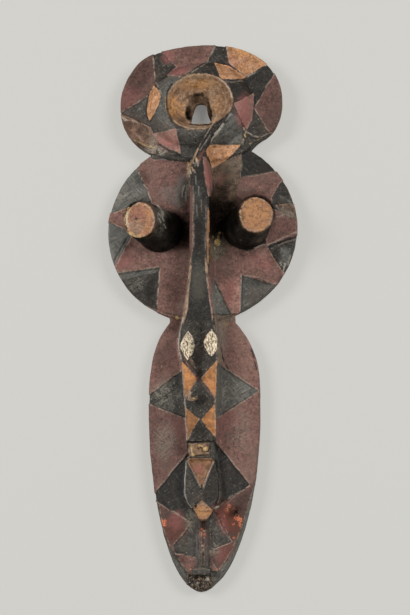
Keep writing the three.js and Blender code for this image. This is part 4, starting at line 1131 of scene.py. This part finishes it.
# Stains: slate-grey wear, rusty, wine-red and olive tints, yellow glow, which inside the mouth is
# partly painted light, and dust in the scratches
specks = calc("ADD", calc("MULTIPLY", grain, 0.5), calc("MULTIPLY", scratch, 0.5))
slate = mix(ramp(scratch, 0.34, 0.66), srgb(92, 91, 86), srgb(120, 119, 112))
for name, spread, tint in (
    ("slate", (small, 0.25, 0.7, 0.75, 1), slate),
    ("rust", (small, 0.3, 0.6, 0.5, 1), srgb(92, 48, 34)),
    ("wine", (small, 0.3, 0.6, 0.5, 1), srgb(142, 84, 80)),
    ("olive", (mid, 0.3, 0.6, 0.5, 1), srgb(76, 68, 52)),
    ("glow", (small, 0.38, 0.58), srgb(204, 146, 84)),
    ("dust", (specks, 0.40, 0.60), srgb(140, 134, 120)),
):
    colour = mix(calc("MULTIPLY", attribute(name), ramp(*spread)), colour, tint)
colour = mix(attribute("rough"), colour, torn_wood)
# Soot and painted shade: near-black in the pockets by the stalks and the snake, on the stalks' sides and
# round the mouth's hole
soot_and_shade = calc("MULTIPLY", attribute("soot_and_shade"), ramp(small, 0.35, 0.6, 1, 0.92))
colour = mix(soot_and_shade, colour, srgb(11, 8, 6))

# Arrises rubbed down to pale wood, dirt and painted shade in the hollows, and the thin marks over all
bulge_for_wear_and_shade = attribute("edge")
clear_of_soot_and_shade = calc("SUBTRACT", 1.0, soot_and_shade)
rubbed = calc("MULTIPLY", ramp(bulge_for_wear_and_shade, 0.5, 1.2), ramp(small, 0.42, 0.56))
rubbed = calc("MULTIPLY", rubbed, clear_of_soot_and_shade)
colour = mix(calc("MULTIPLY", rubbed, 0.45), colour, srgb(160, 132, 112))
# Dirt and painted shade: hollows are darkened to a dark brown
colour = mix(ramp(bulge_for_wear_and_shade, -0.4, -1.3, 0, 0.65), colour, srgb(24, 20, 17))
speckle = ramp(grain, 0.34, 0.50)
# Among the marks are painted highlights (bright chip and pale marks) and painted shadow lines (dark marks)
for name, spread, tint in (
    ("pale", speckle, (178, 160, 144)), ("tan", speckle, (168, 142, 114)),
    ("gold", speckle, (206, 174, 118)), ("ember", ramp(grain, 0.38, 0.52), (198, 114, 80)),
    ("chip_and_highlight", ramp(grain, 0.30, 0.44), (204, 197, 182)), ("dark", 0.9, (16, 13, 11)),
):
    colour = mix(calc("MULTIPLY", attribute(name), spread), colour, srgb(*tint))
colour = mix(attribute("back"), colour, back_wood)
links.new(colour, shader.inputs["Base Color"])

# Matt all over, dullest on the red paint and in the soot and painted shade, with the grain and
# scratches raised
SHINE, BUMP_STRENGTH, BUMP_DEPTH = 0.27, 0.9, 0.0007
dull = calc("ADD", ramp(small, 0.3, 0.7, 0.62, 0.8), calc("MULTIPLY", not_red, -0.16))
links.new(calc("ADD", dull, calc("MULTIPLY", attribute("soot_and_shade"), 0.2)), shader.inputs["Roughness"])
links.new(calc("MULTIPLY", clear_of_soot_and_shade, SHINE), shader.inputs["Specular IOR Level"])
bump = nodes.new("ShaderNodeBump")
bump.inputs["Strength"].default_value = BUMP_STRENGTH
bump.inputs["Distance"].default_value = BUMP_DEPTH
height = calc("ADD", calc("MULTIPLY", grain, 0.7), calc("MULTIPLY", scratch, 0.7))
links.new(height, bump.inputs["Height"])
links.new(bump.outputs[0], shader.inputs["Normal"])
made.materials.clear()
made.materials.append(wood)

# ---- Floor ----
# A wide pale sheet under the mask. It glows a little, as a lit studio sheet does, so the mask's
# shadow on it stays faint. Under the mouth's hole its glow is turned down, a painted shade seen
# through the hole.
FLOOR_HALF = 6
UNDER_MOUTH = (-0.004, 0.292, 0)
GLOW_FADE = (("From Min", 0.024), ("From Max", 0.06), ("To Min", 0.26), ("To Max", 0.655))
corners = [(-FLOOR_HALF, -FLOOR_HALF, 0), (FLOOR_HALF, -FLOOR_HALF, 0),
           (FLOOR_HALF, FLOOR_HALF, 0), (-FLOOR_HALF, FLOOR_HALF, 0)]
floor_mesh = bpy.data.meshes.new("floor")
floor_mesh.from_pydata(corners, [], [(0, 1, 2, 3)])
floor = bpy.data.objects.new("floor", floor_mesh)
scene.collection.objects.link(floor)
paper = bpy.data.materials.new("floor")
paper.use_nodes = True
paper_nodes, paper_links = paper.node_tree.nodes, paper.node_tree.links
paper_shader = paper_nodes["Principled BSDF"]
paper_shader.inputs["Base Color"].default_value = (0.19, 0.188, 0.178, 1)
paper_shader.inputs["Specular IOR Level"].default_value = 0.1
paper_shader.inputs["Roughness"].default_value = 0.9
paper_shader.inputs["Emission Color"].default_value = (0.638, 0.631, 0.597, 1)
floor_at = paper_nodes.new("ShaderNodeTexCoord")
from_mouth = paper_nodes.new("ShaderNodeVectorMath")
from_mouth.operation = "DISTANCE"
from_mouth.inputs[1].default_value = UNDER_MOUTH
fade = paper_nodes.new("ShaderNodeMapRange")
fade.interpolation_type = "SMOOTHSTEP"
for name, number in GLOW_FADE:
    fade.inputs[name].default_value = number
paper_links.new(floor_at.outputs["Object"], from_mouth.inputs[0])
paper_links.new(from_mouth.outputs["Value"], fade.inputs["Value"])
paper_links.new(fade.outputs["Result"], paper_shader.inputs["Emission Strength"])
floor_mesh.materials.append(paper)
floor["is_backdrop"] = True

# ---- Light ----
# Two large soft boxes, left and right of the mask, and a weak even light from all round. They
# leave faint shadows on both sides, as in a studio picture.
LIGHT_OUT, LIGHT_UP_MASK, LIGHT_HEIGHT = 2.0, 0.4, 2.5
LIGHT_SIZE, LIGHT_POWER = 1.3, 62
WORLD_STRENGTH = 0.3
for name, side in (("left", -1), ("right", 1)):
    light = bpy.data.lights.new(name, "AREA")
    light.shape = "SQUARE"
    light.size = LIGHT_SIZE
    light.energy = LIGHT_POWER
    light_object = bpy.data.objects.new(name, light)
    light_object.location = (side * LIGHT_OUT, LIGHT_UP_MASK, LIGHT_HEIGHT)
    light_object.rotation_euler = (-light_object.location).to_track_quat("-Z", "Y").to_euler()
    light_object.visible_camera = False
    scene.collection.objects.link(light_object)
world = bpy.data.worlds.new("studio")
world.use_nodes = True
world.node_tree.nodes["Background"].inputs["Color"].default_value = (1, 1, 1, 1)
world.node_tree.nodes["Background"].inputs["Strength"].default_value = WORLD_STRENGTH
scene.world = world

low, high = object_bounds()
